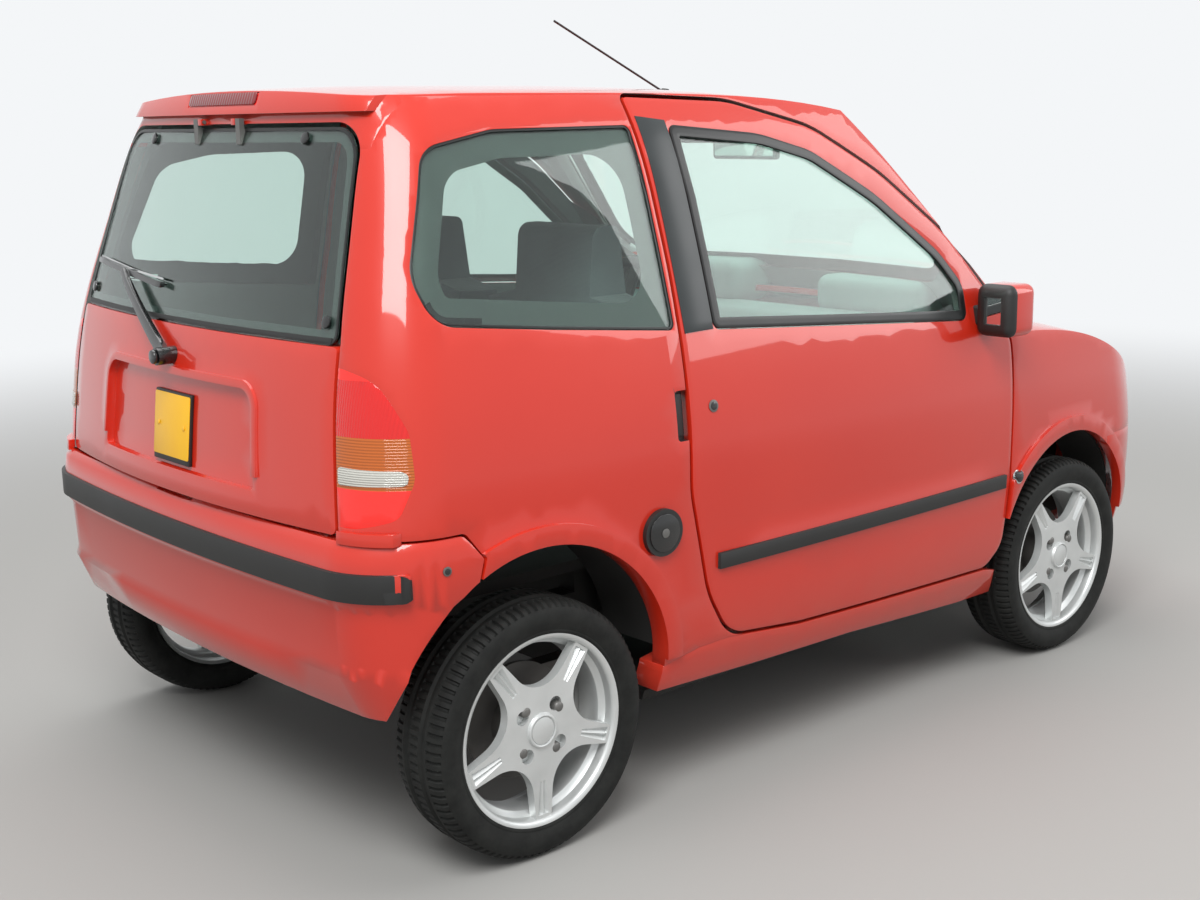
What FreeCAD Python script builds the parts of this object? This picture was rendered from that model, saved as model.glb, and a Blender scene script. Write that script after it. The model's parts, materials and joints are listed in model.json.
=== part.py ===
import FreeCAD, Part
import math
import os
import re
from functools import lru_cache
from types import SimpleNamespace

from FreeCAD import Placement, Rotation, Vector

# A light two-seat microcar: +X forward, +Y to the car's left, +Z up, in millimetres.
# The origin is on the ground under the middle of the car's box.

doc = FreeCAD.newDocument("microcar")
sheet = doc.addObject("Spreadsheet::Sheet", "Sizes")

# Each size is a word, its value in millimetres or degrees, and what it measures.
sizes = [
    ("wheelbase", 1680, "front to rear axle"),
    ("front_axle_x", 715, "front axle ahead of the origin"),
    ("wheel_face_y", 680, "outer face of a tyre from the centre plane"),
    ("tyre_radius", 246, "ground to axle, as loaded"),
    ("tyre_width", 145, "across the tyre"),
    ("tyre_shoulder", 22, "rounding of the tread's edge"),
    ("rim_radius", 178, "rim flange"),
    ("rim_width", 118, "across the rim flanges"),
    ("rim_wall", 7, "rim barrel"),
    ("rim_face_inset", 24, "spoke face behind the rim's edge"),
    ("spoke_plate", 20, "thickness of the spoke plate"),
    ("spokes", 5, "spokes of a wheel"),
    ("window_radius", 73, "radius of the opening between two spokes"),
    ("window_reach", 146, "centre of that opening from the hub's"),
    ("hub_radius", 62, "centre of the wheel that holds the bolts"),
    ("lug_circle", 50, "radius of the bolt circle"),
    ("lug_radius", 7, "bolt hole in the rim"),
    ("lugs", 4, "bolts of a wheel"),
    ("disc_radius", 112, "brake disc"),
    ("disc_plate", 9, "brake disc thickness"),
    ("spindle_radius", 22, "stub axle"),
    ("bearing_gap", 0.5, "running clearance round pins and stub axles"),
    ("kingpin_y", 560, "steering axis from the centre plane"),
    ("kingpin_radius", 9, "steering pins"),
    ("knuckle_radius", 24, "upright of the knuckle"),
    ("knuckle_half", 92, "half height of the knuckle"),
    ("rail_y", 345, "centre of a front chassis rail"),
    ("rail_width", 60, "across a chassis rail"),
    ("rail_height", 56, "height of a chassis rail"),
    ("rail_z", 236, "underside of the front rails"),
    ("strut_y", 470, "suspension strut from the centre plane"),
    ("strut_radius", 22, "suspension strut"),
    ("strut_top", 640, "top of the front struts"),
    ("axle_tube_radius", 28, "rear axle tube"),
    ("arch_radius", 295, "wheel arch opening"),
    ("front_arch_z", 272, "centre of the front arch"),
    ("rear_arch_z", 305, "centre of the rear arch"),
    ("arch_lip", 38, "width of the flared lip round an arch"),
    ("arch_flare", 9, "how far the lip stands proud"),
    ("wall", 36, "doors, side walls and roof, outside to inside"),
    ("skin", 16, "bonnet, front wings and bumpers"),
    ("panel_gap", 8, "seam round a door or lid"),
    ("door_skin", 12, "outer skin of a door, past its inner box"),
    ("door_inner_y", 455, "how far in a door reaches under the roof"),
    ("door_step", 11, "inner box of a door behind its skin's edge"),
    ("glass", 5, "thickness of the glass"),
    ("glass_inset", 4, "glass below the outer surface"),
    ("glass_seat", 0.4, "rubber gap round the glass"),
    ("gutter_z", 1388, "seam between roof and side walls"),
    ("gate_bottom_z", 655, "lower edge of the tailgate"),
    ("gate_glass_bottom_z", 972, "lower edge of the tailgate glass"),
    ("gate_glass_top_z", 1338, "upper edge of the tailgate glass"),
    ("gate_bottom_y", 536, "half width of the tailgate at its foot"),
    ("gate_waist_y", 506, "half width of the tailgate at the glass"),
    ("gate_top_y", 438, "half width of the tailgate glass at the top"),
    ("bumper_top_z", 648, "upper edge of the rear bumper"),
    ("bumper_gap", 5, "seam above the rear bumper"),
    ("bumper_arm_y", 425, "rear bumper's bracket on a chassis leg"),
    ("front_bumper_top_z", 528, "upper edge of the front bumper at the arch"),
    ("nose_z", 596, "seam between the bonnet and the front bumper"),
    ("strip_z", 574, "middle of the rear bumper's rubbing strip"),
    ("strip_height", 50, "height of that strip"),
    ("strip_proud", 8, "how far a rubbing strip stands out"),
    ("door_strip_z", 490, "middle of the door's rubbing strip"),
    ("door_strip_height", 32, "height of that strip"),
    ("door_hinge_x", 424, "door hinge axis"),
    ("door_hinge_y", 682, "door hinge axis from the centre plane"),
    ("hinge_low_z", 520, "lower door hinge"),
    ("hinge_high_z", 720, "upper door hinge"),
    ("hinge_pin", 3.5, "radius of the bonnet and tailgate hinge pins"),
    ("hinge_knuckle", 5.5, "radius of the bonnet hinge's ears round the pin"),
    ("door_pin", 4, "radius of the door hinge pins"),
    ("door_pin_end", 26, "door hinge pin beyond its eye"),
    ("hinge_eye", 6, "radius of a door hinge's eye"),
    ("hinge_width", 24, "width of a door hinge's eye along its pin"),
    ("gate_hinge_y", 66, "tailgate hinges from the centre plane"),
    ("bonnet_hinge_y", 200, "bonnet hinges from the centre plane"),
    ("scuttle_gap", 18, "gap behind the bonnet's rear edge"),
    ("spoiler_proud", 16, "roof spoiler past the tail"),
    ("spoiler_z", 1364, "underside of the roof spoiler"),
    ("spoiler_y", 446, "half width of the roof spoiler"),
    ("sill_bottom_z", 206, "underside of the sills"),
    ("sill_depth", 70, "sill from outside to inside"),
    ("bonnet_rear_x", 606, "rear edge of the bonnet"),
    ("bonnet_rear_y", 548, "half width of the bonnet at its rear edge"),
    ("bonnet_front_y", 400, "half width of the bonnet at the nose"),
    ("bonnet_hinge_x", 599, "bonnet hinge axis"),
    ("bonnet_hinge_z", 868, "bonnet hinge axis"),
    ("gate_hinge_x", -1185, "tailgate hinge axis"),
    ("gate_hinge_z", 1350, "tailgate hinge axis"),
    ("lamp_y", 534, "centre of a head lamp"),
    ("lamp_z", 622, "centre of a head lamp"),
    ("lamp_radius", 92, "radius of a head lamp"),
    ("lamp_depth", 70, "head lamp housing behind the lens"),
    ("floor_z", 196, "underside of the cabin floor"),
    ("floor_plate", 22, "thickness of the floor"),
    ("floor_y", 592, "half width of the cabin floor"),
    ("boot_z", 470, "underside of the boot floor"),
    ("firewall_x", 384, "rear face of the firewall"),
    ("firewall_plate", 20, "thickness of the firewall"),
    ("boot_wall_x", -640, "front face of the wall below the boot floor"),
    ("seat_y", 268, "middle of a seat from the centre plane"),
    ("seat_width", 430, "across a seat"),
    ("seat_front_x", 30, "front edge of a seat cushion"),
    ("seat_back_x", -430, "hip point of a seat"),
    ("seat_z", 400, "middle of the seat cushion"),
    ("seat_pad", 120, "thickness of a seat cushion"),
    ("seat_top_z", 965, "top of the seat back"),
    ("headrest_top_z", 1130, "top of the headrest"),
    ("dash_z", 640, "underside of the dashboard"),
    ("dash_top_z", 862, "top of the dashboard"),
    ("dash_x", 205, "rear face of the dashboard"),
    ("steering_x", 62, "middle of the steering wheel"),
    ("steering_z", 815, "middle of the steering wheel"),
    ("steering_radius", 172, "steering wheel rim"),
    ("steering_grip", 14, "thickness of the steering wheel rim, radius"),
    ("steering_tilt", 24, "steering column above level"),
    ("shaft_radius", 14, "steering shaft"),
    ("shaft_depth", 70, "how far the steering shaft goes into the dashboard"),
    ("engine_length", 330, "engine block along the car"),
    ("engine_width", 430, "engine block across the car"),
    ("engine_height", 370, "engine block height"),
    ("engine_x", 900, "middle of the engine block"),
    ("plate_width", 146, "number plate"),
    ("plate_height", 137, "number plate"),
    ("plate_thickness", 8, "number plate with its holder"),
    ("plate_z", 776, "middle of the number plate"),
    ("recess_depth", 14, "recess in the tailgate round the number plate"),
    ("recess_rim", 15, "width of the raised rim round that recess"),
    ("recess_rim_proud", 5, "height of that rim"),
    ("wiper_y", 0, "rear wiper's spindle"),
    ("wiper_z", 915, "rear wiper's spindle"),
    ("wiper_boss", 17, "radius of the wiper's boss"),
    ("wiper_proud", 12, "underside of the wiper arm off the tailgate"),
    ("wiper_arm", 10, "thickness of the wiper arm"),
    ("wiper_blade", 5, "half height of the wiper blade"),
    ("groove_depth", 5, "groove down each spoke"),
    ("mirror_x", 352, "middle of a door mirror"),
    ("mirror_y", 730, "middle of a door mirror from the centre plane"),
    ("mirror_z", 905, "middle of a door mirror"),
    ("mirror_length", 100, "shell of a door mirror"),
    ("mirror_width", 100, "shell of a door mirror"),
    ("mirror_height", 118, "shell of a door mirror"),
    ("mirror_round", 26, "edges of that shell"),
    ("cap_x", -688, "fuel cap"),
    ("cap_z", 576, "fuel cap"),
    ("cap_radius", 46, "fuel cap"),
    ("antenna_x", -10, "foot of the antenna"),
    ("antenna_length", 370, "antenna"),
    ("antenna_lean", 65, "antenna from upright, backwards, in degrees"),
    ("jack_x", 520, "jacking pad under a front rail"),
    ("jack_length", 80, "jacking pad along the rail"),
    ("jack_depth", 8, "jacking pad below the rail"),
    ("tow_x", -1150, "towing eye's hole"),
    ("tow_y", 425, "towing eye's hole, right of the centre plane"),
    ("tow_hole_radius", 8, "thread for the towing eye"),
    ("tow_hole_depth", 40, "depth of that thread"),
]
for row, (word, value, meaning) in enumerate(sizes, 1):
    sheet.set(f"A{row}", meaning)
    sheet.set(f"B{row}", str(value))
    sheet.setAlias(f"B{row}", word)
doc.recompute()
s = SimpleNamespace(**{word: float(getattr(sheet, word)) for word, value, meaning in sizes})
rear_axle_x = s.front_axle_x - s.wheelbase

# Plan outlines of the body, one row for each height:
# z, tail x, tail crown, tail corner, half width, side crown, nose corner, nose crown, nose x
body_rows = [
    (190, -1246, 3200, 110, 655, 16000, 300, 900, 1290),
    (300, -1278, 3200, 120, 690, 16000, 300, 900, 1330),
    (450, -1332, 3200, 140, 702, 16000, 300, 900, 1356),
    (600, -1348, 3200, 150, 705, 16000, 300, 900, 1342),
    (750, -1337, 3200, 150, 702, 16000, 300, 900, 1300),
    (880, -1320, 3200, 145, 684, 16000, 300, 900, 1250),
    (1000, -1292, 3200, 140, 655, 15000, 300, 900, 1210),
    (1150, -1244, 3200, 135, 612, 14000, 300, 900, 1210),
    (1340, -1181, 3200, 125, 537, 13000, 300, 900, 1210),
    (1450, -1145, 3200, 115, 470, 12000, 300, 900, 1210),
]
body_middle_x = -150
# Plan outlines of the rear bumper, one row for each height: z, tail x, tail corner, half width.
# The widest rows are the band that holds the rubbing strip.
bumper_rows = [
    (326, -1302, 130, 698), (405, -1336, 150, 706), (425, -1331, 150, 704), (528, -1336, 155, 706),
    (542, -1347, 165, 712), (608, -1347, 165, 712), (634, -1341, 160, 709),
    (s.bumper_top_z, -1330, 155, 702),
]
bumper_crown = 6000
# Roof arches across the car: x, z on the centre plane, crown
roof_rows = (
    (-1450, 1388, 5000), (-1100, 1411, 5000), (-800, 1416, 5000), (-400, 1413, 5000),
    (-150, 1400, 5000), (60, 1370, 5000), (350, 1290, 5000), (900, 1080, 5000),
)
# Bonnet arches across the car: x, z on the centre plane, crown
bonnet_rows = (
    (300, 930, 5000), (700, 862, 5000), (1040, 735, 4000), (1250, 565, 2600), (1500, 310, 2000),
)
# Windscreen arcs in plan: z, x on the centre plane, crown
screen_rows = [
    (60, 1438, 1690), (925, 540, 1690), (1130, 326, 1690), (1335, 112, 1690), (1500, -62, 1690),
]
screen_lean = 1.45
tool_reach = 900


def loft(wires):
    return Part.makeLoft(wires, True, False)


def body_outline(z, tail, tail_crown, tail_corner, half, side_crown, nose_corner, nose_crown,
                 nose, inset):
    """Plan outline of eight tangent arcs at one height, drawn in by inset."""
    tail, tail_crown, tail_corner = tail + inset, tail_crown - inset, tail_corner - inset
    half, side_crown = half - inset, side_crown - inset
    nose_corner, nose_crown, nose = nose_corner - inset, nose_crown - inset, nose - inset
    side = (body_middle_x, half - side_crown)

    def corner(crown_x, crown, radius, end):
        # the corner circle touches the end's crown and the side's crown from inside
        reach, side_reach = crown - radius, side_crown - radius
        along, across = side[0] - crown_x, side[1]
        apart = math.hypot(along, across)
        foot = (reach ** 2 - side_reach ** 2 + apart ** 2) / (2 * apart)
        lift = math.sqrt(reach ** 2 - foot ** 2)
        ux, uy = along / apart, across / apart
        spots = [(crown_x + ux * foot - k * uy * lift, uy * foot + k * ux * lift) for k in (-1, 1)]
        centre = max((p for p in spots if p[1] > 0), key=lambda p: end * p[0])

        def touch(origin, distance):
            dx, dy = centre[0] - origin[0], centre[1] - origin[1]
            span = math.hypot(dx, dy)
            return origin[0] + dx / span * distance, origin[1] + dy / span * distance

        first, last = touch((crown_x, 0), crown), touch(side, side_crown)
        mx, my = (first[0] + last[0]) / 2 - centre[0], (first[1] + last[1]) / 2 - centre[1]
        span = math.hypot(mx, my)
        return first, (centre[0] + mx / span * radius, centre[1] + my / span * radius), last

    t1, t2, t3 = corner(tail + tail_crown, tail_crown, tail_corner, -1)
    n1, n2, n3 = corner(nose - nose_crown, nose_crown, nose_corner, 1)
    mid_x = (t3[0] + n3[0]) / 2
    mid = (mid_x, side[1] + math.sqrt(side_crown ** 2 - (mid_x - side[0]) ** 2))

    def at(point, sign=1):
        return Vector(point[0], sign * point[1], z)

    arcs = [
        (at(t1, -1), at((tail, 0)), at(t1)), (at(t1), at(t2), at(t3)),
        (at(t3), at(mid), at(n3)), (at(n3), at(n2), at(n1)),
        (at(n1), at((nose, 0)), at(n1, -1)), (at(n1, -1), at(n2, -1), at(n3, -1)),
        (at(n3, -1), at(mid, -1), at(t3, -1)), (at(t3, -1), at(t2, -1), at(t1, -1)),
    ]
    return Part.Wire([Part.Arc(*arc).toShape() for arc in arcs])


@lru_cache(maxsize=None)
def plan_form(inset):
    """The body between its foot and above its roof, before the top shapes cut it."""
    rows = [list(row) for row in body_rows]
    if inset > 0:
        rows[0][0] -= 12
    return loft([body_outline(*row, inset) for row in rows])


@lru_cache(maxsize=None)
def bumper_form(inset):
    rows = [(z, tail, bumper_crown, corner, half, 16000, 300, 900, 1290)
            for z, tail, corner, half in bumper_rows]
    return Part.makeLoft([body_outline(*row, inset) for row in rows], True, True)


@lru_cache(maxsize=None)
def arch_form(rows, inset):
    """What lies under a surface that is arched across the car."""
    wires = []
    for x, z, crown in rows:
        z, crown = z - inset, crown - inset
        shoulder = z - crown + math.sqrt(crown ** 2 - tool_reach ** 2)
        left, right = Vector(x, tool_reach, shoulder), Vector(x, -tool_reach, shoulder)
        low_left, low_right = Vector(x, tool_reach, -600), Vector(x, -tool_reach, -600)
        wires.append(Part.Wire([
            Part.LineSegment(low_right, low_left).toShape(), Part.LineSegment(low_left, left).toShape(),
            Part.Arc(left, Vector(x, 0, z), right).toShape(), Part.LineSegment(right, low_right).toShape(),
        ]))
    return loft(wires)


@lru_cache(maxsize=None)
def screen_form(inset):
    """What lies behind the windscreen's surface."""
    wires = []
    for z, x, crown in screen_rows:
        x, crown = x - screen_lean * inset, crown - inset
        side_x = x - crown + math.sqrt(crown ** 2 - tool_reach ** 2)
        left, right = Vector(side_x, tool_reach, z), Vector(side_x, -tool_reach, z)
        back_left, back_right = Vector(-1600, tool_reach, z), Vector(-1600, -tool_reach, z)
        wires.append(Part.Wire([
            Part.LineSegment(back_right, back_left).toShape(), Part.LineSegment(back_left, left).toShape(),
            Part.Arc(left, Vector(x, 0, z), right).toShape(), Part.LineSegment(right, back_right).toShape(),
        ]))
    return loft(wires)


@lru_cache(maxsize=None)
def cab_form(inset):
    return plan_form(inset).common(arch_form(roof_rows, inset)).common(screen_form(inset))


@lru_cache(maxsize=None)
def lower_form(inset):
    return plan_form(inset).common(arch_form(bonnet_rows, inset))


def rounded_face(points, place):
    """A flat face from corners of (a, b, corner radius); place turns (a, b) into a point."""
    edges = []
    count = len(points)
    ends = []
    for i, (a, b, radius) in enumerate(points):
        before, after = points[i - 1], points[(i + 1) % count]
        v0 = Vector(before[0] - a, before[1] - b, 0).normalize()
        v1 = Vector(after[0] - a, after[1] - b, 0).normalize()
        if radius == 0:
            ends.append(((a, b), None, (a, b)))
            continue
        half_turn = v0.getAngle(v1) / 2
        room = 0.49 * min(math.dist(before[:2], (a, b)), math.dist(after[:2], (a, b)))
        back = min(radius / math.tan(half_turn), room)
        radius = back * math.tan(half_turn)
        bisector = (v0 + v1).normalize()
        reach = radius / math.sin(half_turn) - radius
        ends.append(((a + v0.x * back, b + v0.y * back),
                     (a + bisector.x * reach, b + bisector.y * reach),
                     (a + v1.x * back, b + v1.y * back)))
    for i, (start, middle, end) in enumerate(ends):
        if middle:
            edges.append(Part.Arc(place(*start), place(*middle), place(*end)).toShape())
        following = ends[(i + 1) % count][0]
        if place(*end).distanceToPoint(place(*following)) > 1e-6:
            edges.append(Part.LineSegment(place(*end), place(*following)).toShape())
    return Part.Face(Part.Wire(edges))


def grow(face, distance):
    """The same face, larger all round by distance."""
    return face.makeOffset2D(distance) if distance else face


def side_tool(points, side, offset=0, inner=250):
    """A cutter through one side of the car (side is 1 for left, -1 for right)."""
    face = grow(rounded_face(points, lambda a, b: Vector(a, side * inner, b)), offset)
    return face.extrude(Vector(0, side * (tool_reach - inner), 0))


def rear_tool(points, offset=0, front=-900):
    """A cutter through the tail, seen from behind."""
    face = grow(rounded_face(points, lambda a, b: Vector(front, a, b)), offset)
    return face.extrude(Vector(-700, 0, 0))


def box(x0, x1, y0, y1, z0, z1):
    return Part.makeBox(x1 - x0, y1 - y0, z1 - z0, Vector(x0, y0, z0))


def add_shape(label, shape):
    """A sub-part whose form is computed here from the sheet's sizes."""
    item = doc.addObject("Part::Feature", label)
    item.Label = label
    item.Shape = shape
    item.Placement = Placement()
    sub_parts.append(item)
    return item


sub_parts = []

# Side view of the door: x, z, corner radius, clockwise from the top of the rear edge.
door_outline = [
    (-598, 1383, 10), (-330, 1372, 300), (-112, 1317, 260), (68, 1216, 500), (258, 1074, 300),
    (408, 900, 90), (443, 818, 60), (447, 480, 60), (432, 330, 60), (380, 286, 50), (-290, 309, 200),
    (-500, 330, 90), (-560, 430, 200), (-606, 640, 200), (-603, 840, 900), (-596, 1060, 900),
]
# Side view of the door's window, outside the rubber frame.
door_window = [
    (-516, 1330, 18), (-275, 1308, 300), (-136, 1271, 150), (39, 1174, 400), (220, 1039, 200),
    (286, 962, 60), (281, 882, 22), (-516, 941, 18),
]
# Side view of the fixed quarter window.
quarter_window = [
    (-612, 1331, 14), (-930, 1329, 150), (-1085, 1300, 60), (-1161, 1085, 90), (-1138, 1004, 60),
    (-896, 977, 300), (-615, 949, 14),
]
# Side view of a sill.
sill_outline = [
    (-677, 246, 0), (-672, 300, 0), (-582, 319, 30), (-500, 322, 30), (-290, 301, 200), (380, 278, 20),
    (428, 268, 0), (439, 206, 0), (301, 209, 0), (-104, 234, 0), (-422, 240, 0),
]
# The tailgate from behind: y, z, corner radius, one half; the other half mirrors it.
gate_half = [
    (s.gate_bottom_y, s.gate_bottom_z, 12), (s.gate_waist_y, s.gate_glass_bottom_z, 120),
    (s.gate_top_y, s.gate_glass_top_z, 70),
]
gate_glass_half = [
    (s.gate_waist_y - 3, s.gate_glass_bottom_z, 20), (s.gate_top_y, s.gate_glass_top_z, 70),
]
gate_panel_half = [
    (s.gate_bottom_y, s.gate_bottom_z, 12),
    (s.gate_waist_y, s.gate_glass_bottom_z - s.glass_seat, 12),
]
# The windscreen from the front: y, z, corner radius, one half.
screen_half = [(600, 946, 100), (490, 1328, 100)]


def both_halves(half):
    return half + [(-y, z, r) for y, z, r in reversed(half)]


cab_outer = cab_form(0)
lower_outer = lower_form(0)
cab_shell = cab_outer.cut(cab_form(s.wall))
lower_shell = lower_outer.cut(lower_form(s.skin))
glass_layer = cab_form(s.glass_inset).cut(cab_form(s.glass_inset + s.glass))
sides = {"left": 1, "right": -1}


def wheel_arch(x, z, radius, side, inner):
    """The cylinder that opens one wheel arch."""
    return Part.makeCylinder(radius, tool_reach - inner, Vector(x, side * inner, z),
                             Vector(0, side, 0))


def arch_lip(x, z, side):
    """The flared lip round one wheel arch."""
    ring = wheel_arch(x, z, s.arch_radius + s.arch_lip, side, 600)
    ring = ring.common(box(x - 400, x + 400, -tool_reach, tool_reach, s.sill_bottom_z + 110, 900))
    return ring.common(plan_form(-s.arch_flare)).cut(plan_form(s.skin))


def band(x0, x1, z0, z1, proud, inner):
    """A strip that stands proud of the body's side between two heights."""
    return box(x0, x1, -tool_reach, tool_reach, z0, z1).common(plan_form(-proud)).cut(inner)


# The zones that the outer shell is divided into.
gutter_x = -603
roof_zone = box(-1500, gutter_x, -900, 900, s.gutter_z, 1500)
roof_zone = roof_zone.fuse(box(gutter_x, 800, -900, 900, 1300, 1500))
roof_zone = roof_zone.fuse(box(-200, 800, -900, 900, 820, 1300))
roof_zone = roof_zone.fuse(box(-1500, -1080, -468, 468, 1300, 1500))
gate_hole = rear_tool(both_halves(gate_half), s.panel_gap)
# Side view of the rear bumper's front edge and top; the wheel arch cuts its lower part.
bumper_outline = [
    (-1500, s.bumper_top_z, 0), (-1500, 200, 0), (-1112, 200, 0), (-1112, 545, 0), (-1097, 603, 5),
    (-1132, s.bumper_top_z, 12),
]
bonnet_points = [
    (s.bonnet_rear_x, s.bonnet_rear_y, 14), (1500, s.bonnet_front_y - 57, 0),
    (1500, 57 - s.bonnet_front_y, 0), (s.bonnet_rear_x, -s.bonnet_rear_y, 14),
]


def top_tool(points, z0, z1, offset=0):
    """A cutter from above, drawn in plan."""
    face = grow(rounded_face(points, lambda a, b: Vector(a, b, z0)), offset)
    return face.extrude(Vector(0, 0, z1 - z0))


front_bumper_zone = box(890, 1500, -900, 900, 0, s.front_bumper_top_z)
front_bumper_zone = front_bumper_zone.fuse(
    top_tool(bonnet_points, s.front_bumper_top_z, s.nose_z - s.panel_gap)
    .common(box(890, 1500, -900, 900, 0, 900)))
cowl_zone = box(452, s.bonnet_rear_x - s.scuttle_gap, 7 - s.bonnet_rear_y, s.bonnet_rear_y - 7, 700, 1000)
scuttle_zone = box(452, s.bonnet_rear_x + 10, 7 - s.bonnet_rear_y, s.bonnet_rear_y - 7, 700, 1000)
# Side view of a tail lamp's outer edge.
lamp_outline = [
    (-1500, 985, 0), (-1318, 985, 20), (-1240, 915, 60), (-1212, 835, 60), (-1212, 755, 50),
    (-1240, 690, 30), (-1290, 672, 20), (-1500, 672, 0),
]
# The plate recess in the tailgate, from behind: y, z, corner radius, one half.
recess_half = [(306, 700, 10), (292, 880, 40)]
# The door handle's recess in the side panel: x, z, corner radius.
handle_outline = [(-640, 742, 8), (-640, 838, 8), (-590, 838, 0), (-590, 742, 0)]
# The rear wiper from behind, about its spindle: y, z, corner radius.
wiper_arm = [(-6, 11, 0), (6, -11, 0), (238, 120, 20), (270, 140, 4), (262, 150, 4), (232, 131, 20)]
wiper_blade = [(83, 126), (440, 155)]


def head_lamp_tool(side, clearance):
    return Part.makeCylinder(s.lamp_radius - clearance, 600,
                             Vector(900, side * s.lamp_y, s.lamp_z), Vector(1, 0, 0))


def put(label, shape):
    """Cut away slivers and add a body panel that is one solid."""
    solids = [solid for solid in shape.Solids if solid.Volume > 500]
    shape = solids[0] if len(solids) == 1 else Part.makeCompound(solids)
    return add_shape(label, shape)


def mirrored(shape):
    return shape.mirror(Vector(0, 0, 0), Vector(0, 1, 0))


def both(shape):
    """A pair of like pieces, left and right, that share one node."""
    return Part.makeCompound([shape, mirrored(shape)])


def put_pair(label, shape):
    put(f"{label}_left", shape)
    put(f"{label}_right", mirrored(shape))


screen_face = rounded_face(both_halves(screen_half), lambda a, b: Vector(-300, a, b))
screen_hole = screen_face.extrude(Vector(1200, 0, 0))
screen_glass_tool = grow(screen_face, -s.glass_seat).extrude(Vector(1200, 0, 0))

# Panels that come in pairs are cut on the left and mirrored.
left_half = box(-1500, 1500, 0, 900, 0, 1500)
door_hole = side_tool(door_outline, 1, s.panel_gap, s.door_inner_y)
door_tool = side_tool(door_outline, 1, 0, s.door_inner_y)
window_hole = side_tool(door_window, 1)
quarter_hole = side_tool(quarter_window, 1)
sill_tool = side_tool(sill_outline, 1)
lamp_tool = side_tool(lamp_outline, 1)
rear_opening = wheel_arch(rear_axle_x, s.rear_arch_z, s.arch_radius, 1, 300)
front_opening = wheel_arch(s.front_axle_x, s.front_arch_z, s.arch_radius, 1, 300)
rear_lip = arch_lip(rear_axle_x, s.rear_arch_z, 1)
front_lip = arch_lip(s.front_axle_x, s.front_arch_z, 1)
bonnet_hole = top_tool(bonnet_points, s.nose_z - s.panel_gap, 1200, s.panel_gap)
lamp_hole = head_lamp_tool(1, 0).common(box(1000, 1500, -900, 900, 0, 900))

recess_layer = cab_outer.cut(cab_form(s.recess_depth))
quarter_zone = box(-1500, -430, 0, 900, 246, s.gutter_z)
quarter = cab_shell.common(quarter_zone).fuse(rear_lip).cut([
    door_hole, sill_tool, lamp_tool, rear_opening, gate_hole, roof_zone, quarter_hole,
    side_tool(bumper_outline, 1, s.bumper_gap, -10), recess_layer.common(side_tool(handle_outline, 1)),
])
put_pair("side_panel", quarter)

door_strip = band(-538, 424, s.door_strip_z - s.door_strip_height / 2,
                  s.door_strip_z + s.door_strip_height / 2, s.strip_proud, plan_form(s.skin / 2))
door_box = cab_shell.common(side_tool(door_outline, 1, -s.door_step, s.door_inner_y))
door = cab_outer.common(door_tool).cut(cab_form(s.door_skin)).fuse(door_box).cut(window_hole)
door = door.fuse(door_strip.common(left_half))
pocket_depth = s.door_hinge_y + s.hinge_eye + 1
for z in (s.hinge_low_z, s.hinge_high_z):
    door = door.cut([
        box(s.door_hinge_x - s.hinge_eye - 3, s.door_hinge_x + 60, 500, pocket_depth,
            z - s.hinge_width / 2 - 6, z + s.hinge_width / 2 + 6),
        Part.makeCylinder(s.door_pin + s.bearing_gap, s.hinge_width + 2 * s.door_pin_end + 4,
                          Vector(s.door_hinge_x, s.door_hinge_y,
                                 z - s.hinge_width / 2 - s.door_pin_end - 2)),
    ])
put_pair("door_panel", door)
put_pair("door_glass", glass_layer.common(side_tool(door_window, 1, -s.glass_seat)))

wing = lower_shell.common(box(446, 1500, 0, 900, s.sill_bottom_z, 1000)).fuse(front_lip).cut([
    door_hole, front_opening, front_bumper_zone, bonnet_hole, scuttle_zone, sill_tool, lamp_hole,
])
put_pair("wing", wing)

put("quarter_glasses", both(glass_layer.common(side_tool(quarter_window, 1, -s.glass_seat))))
put("tail_lamps", both(cab_shell.common(lamp_tool).cut(gate_hole)))
lens_zone = head_lamp_tool(1, s.bearing_gap).common(
    box(1000, 1500, 0, 900, s.front_bumper_top_z, 900))
lens = lower_outer.common(lens_zone).cut([lower_form(s.lamp_depth), bonnet_hole])
put("head_lamps", both(lens))
put("sills", both(plan_form(0).common(sill_tool).cut(plan_form(s.sill_depth))))
liners = []
inner_plan = plan_form(s.wall + s.glass_seat)
for x, z in ((s.front_axle_x, s.front_arch_z), (rear_axle_x, s.rear_arch_z)):
    liner = wheel_arch(x, z, s.arch_radius + 11, 1, 505).cut(
        wheel_arch(x, z, s.arch_radius + 5, 1, 400))
    liners.append(liner.common(box(-1500, 1500, 0, 900, s.sill_bottom_z + 130, 900)).common(inner_plan))
put("wheel_liners", Part.makeCompound(liners + [mirrored(liner) for liner in liners]))

brake_lamp_zone = box(-1500, -1100, -135, 135, 1379, 1403)
roof = cab_shell.common(roof_zone).cut([
    lower_outer, gate_hole, screen_hole, door_hole, mirrored(door_hole),
])
spoiler = arch_form(roof_rows, 0).common(plan_form(-s.spoiler_proud)).common(
    box(-1500, -1085, -s.spoiler_y, s.spoiler_y, s.spoiler_z, 1500)).cut(cab_form(s.wall / 2))
ears = [box(s.gate_hinge_x - 6, -1165, y - 7, y + 7, s.gate_hinge_z - 6, s.gate_hinge_z + 6)
        for y in (s.gate_hinge_y, -s.gate_hinge_y)]
gate_pin_hole = Part.makeCylinder(s.hinge_pin + s.bearing_gap, 400,
                                  Vector(s.gate_hinge_x, -200, s.gate_hinge_z), Vector(0, 1, 0))
roof = roof.fuse([spoiler] + ears).cut([
    gate_pin_hole.common(box(-1500, s.gate_hinge_x + 12, -300, 300, 0, 1500)),
    brake_lamp_zone.cut(cab_form(20 + s.glass_seat)),
])
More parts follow.
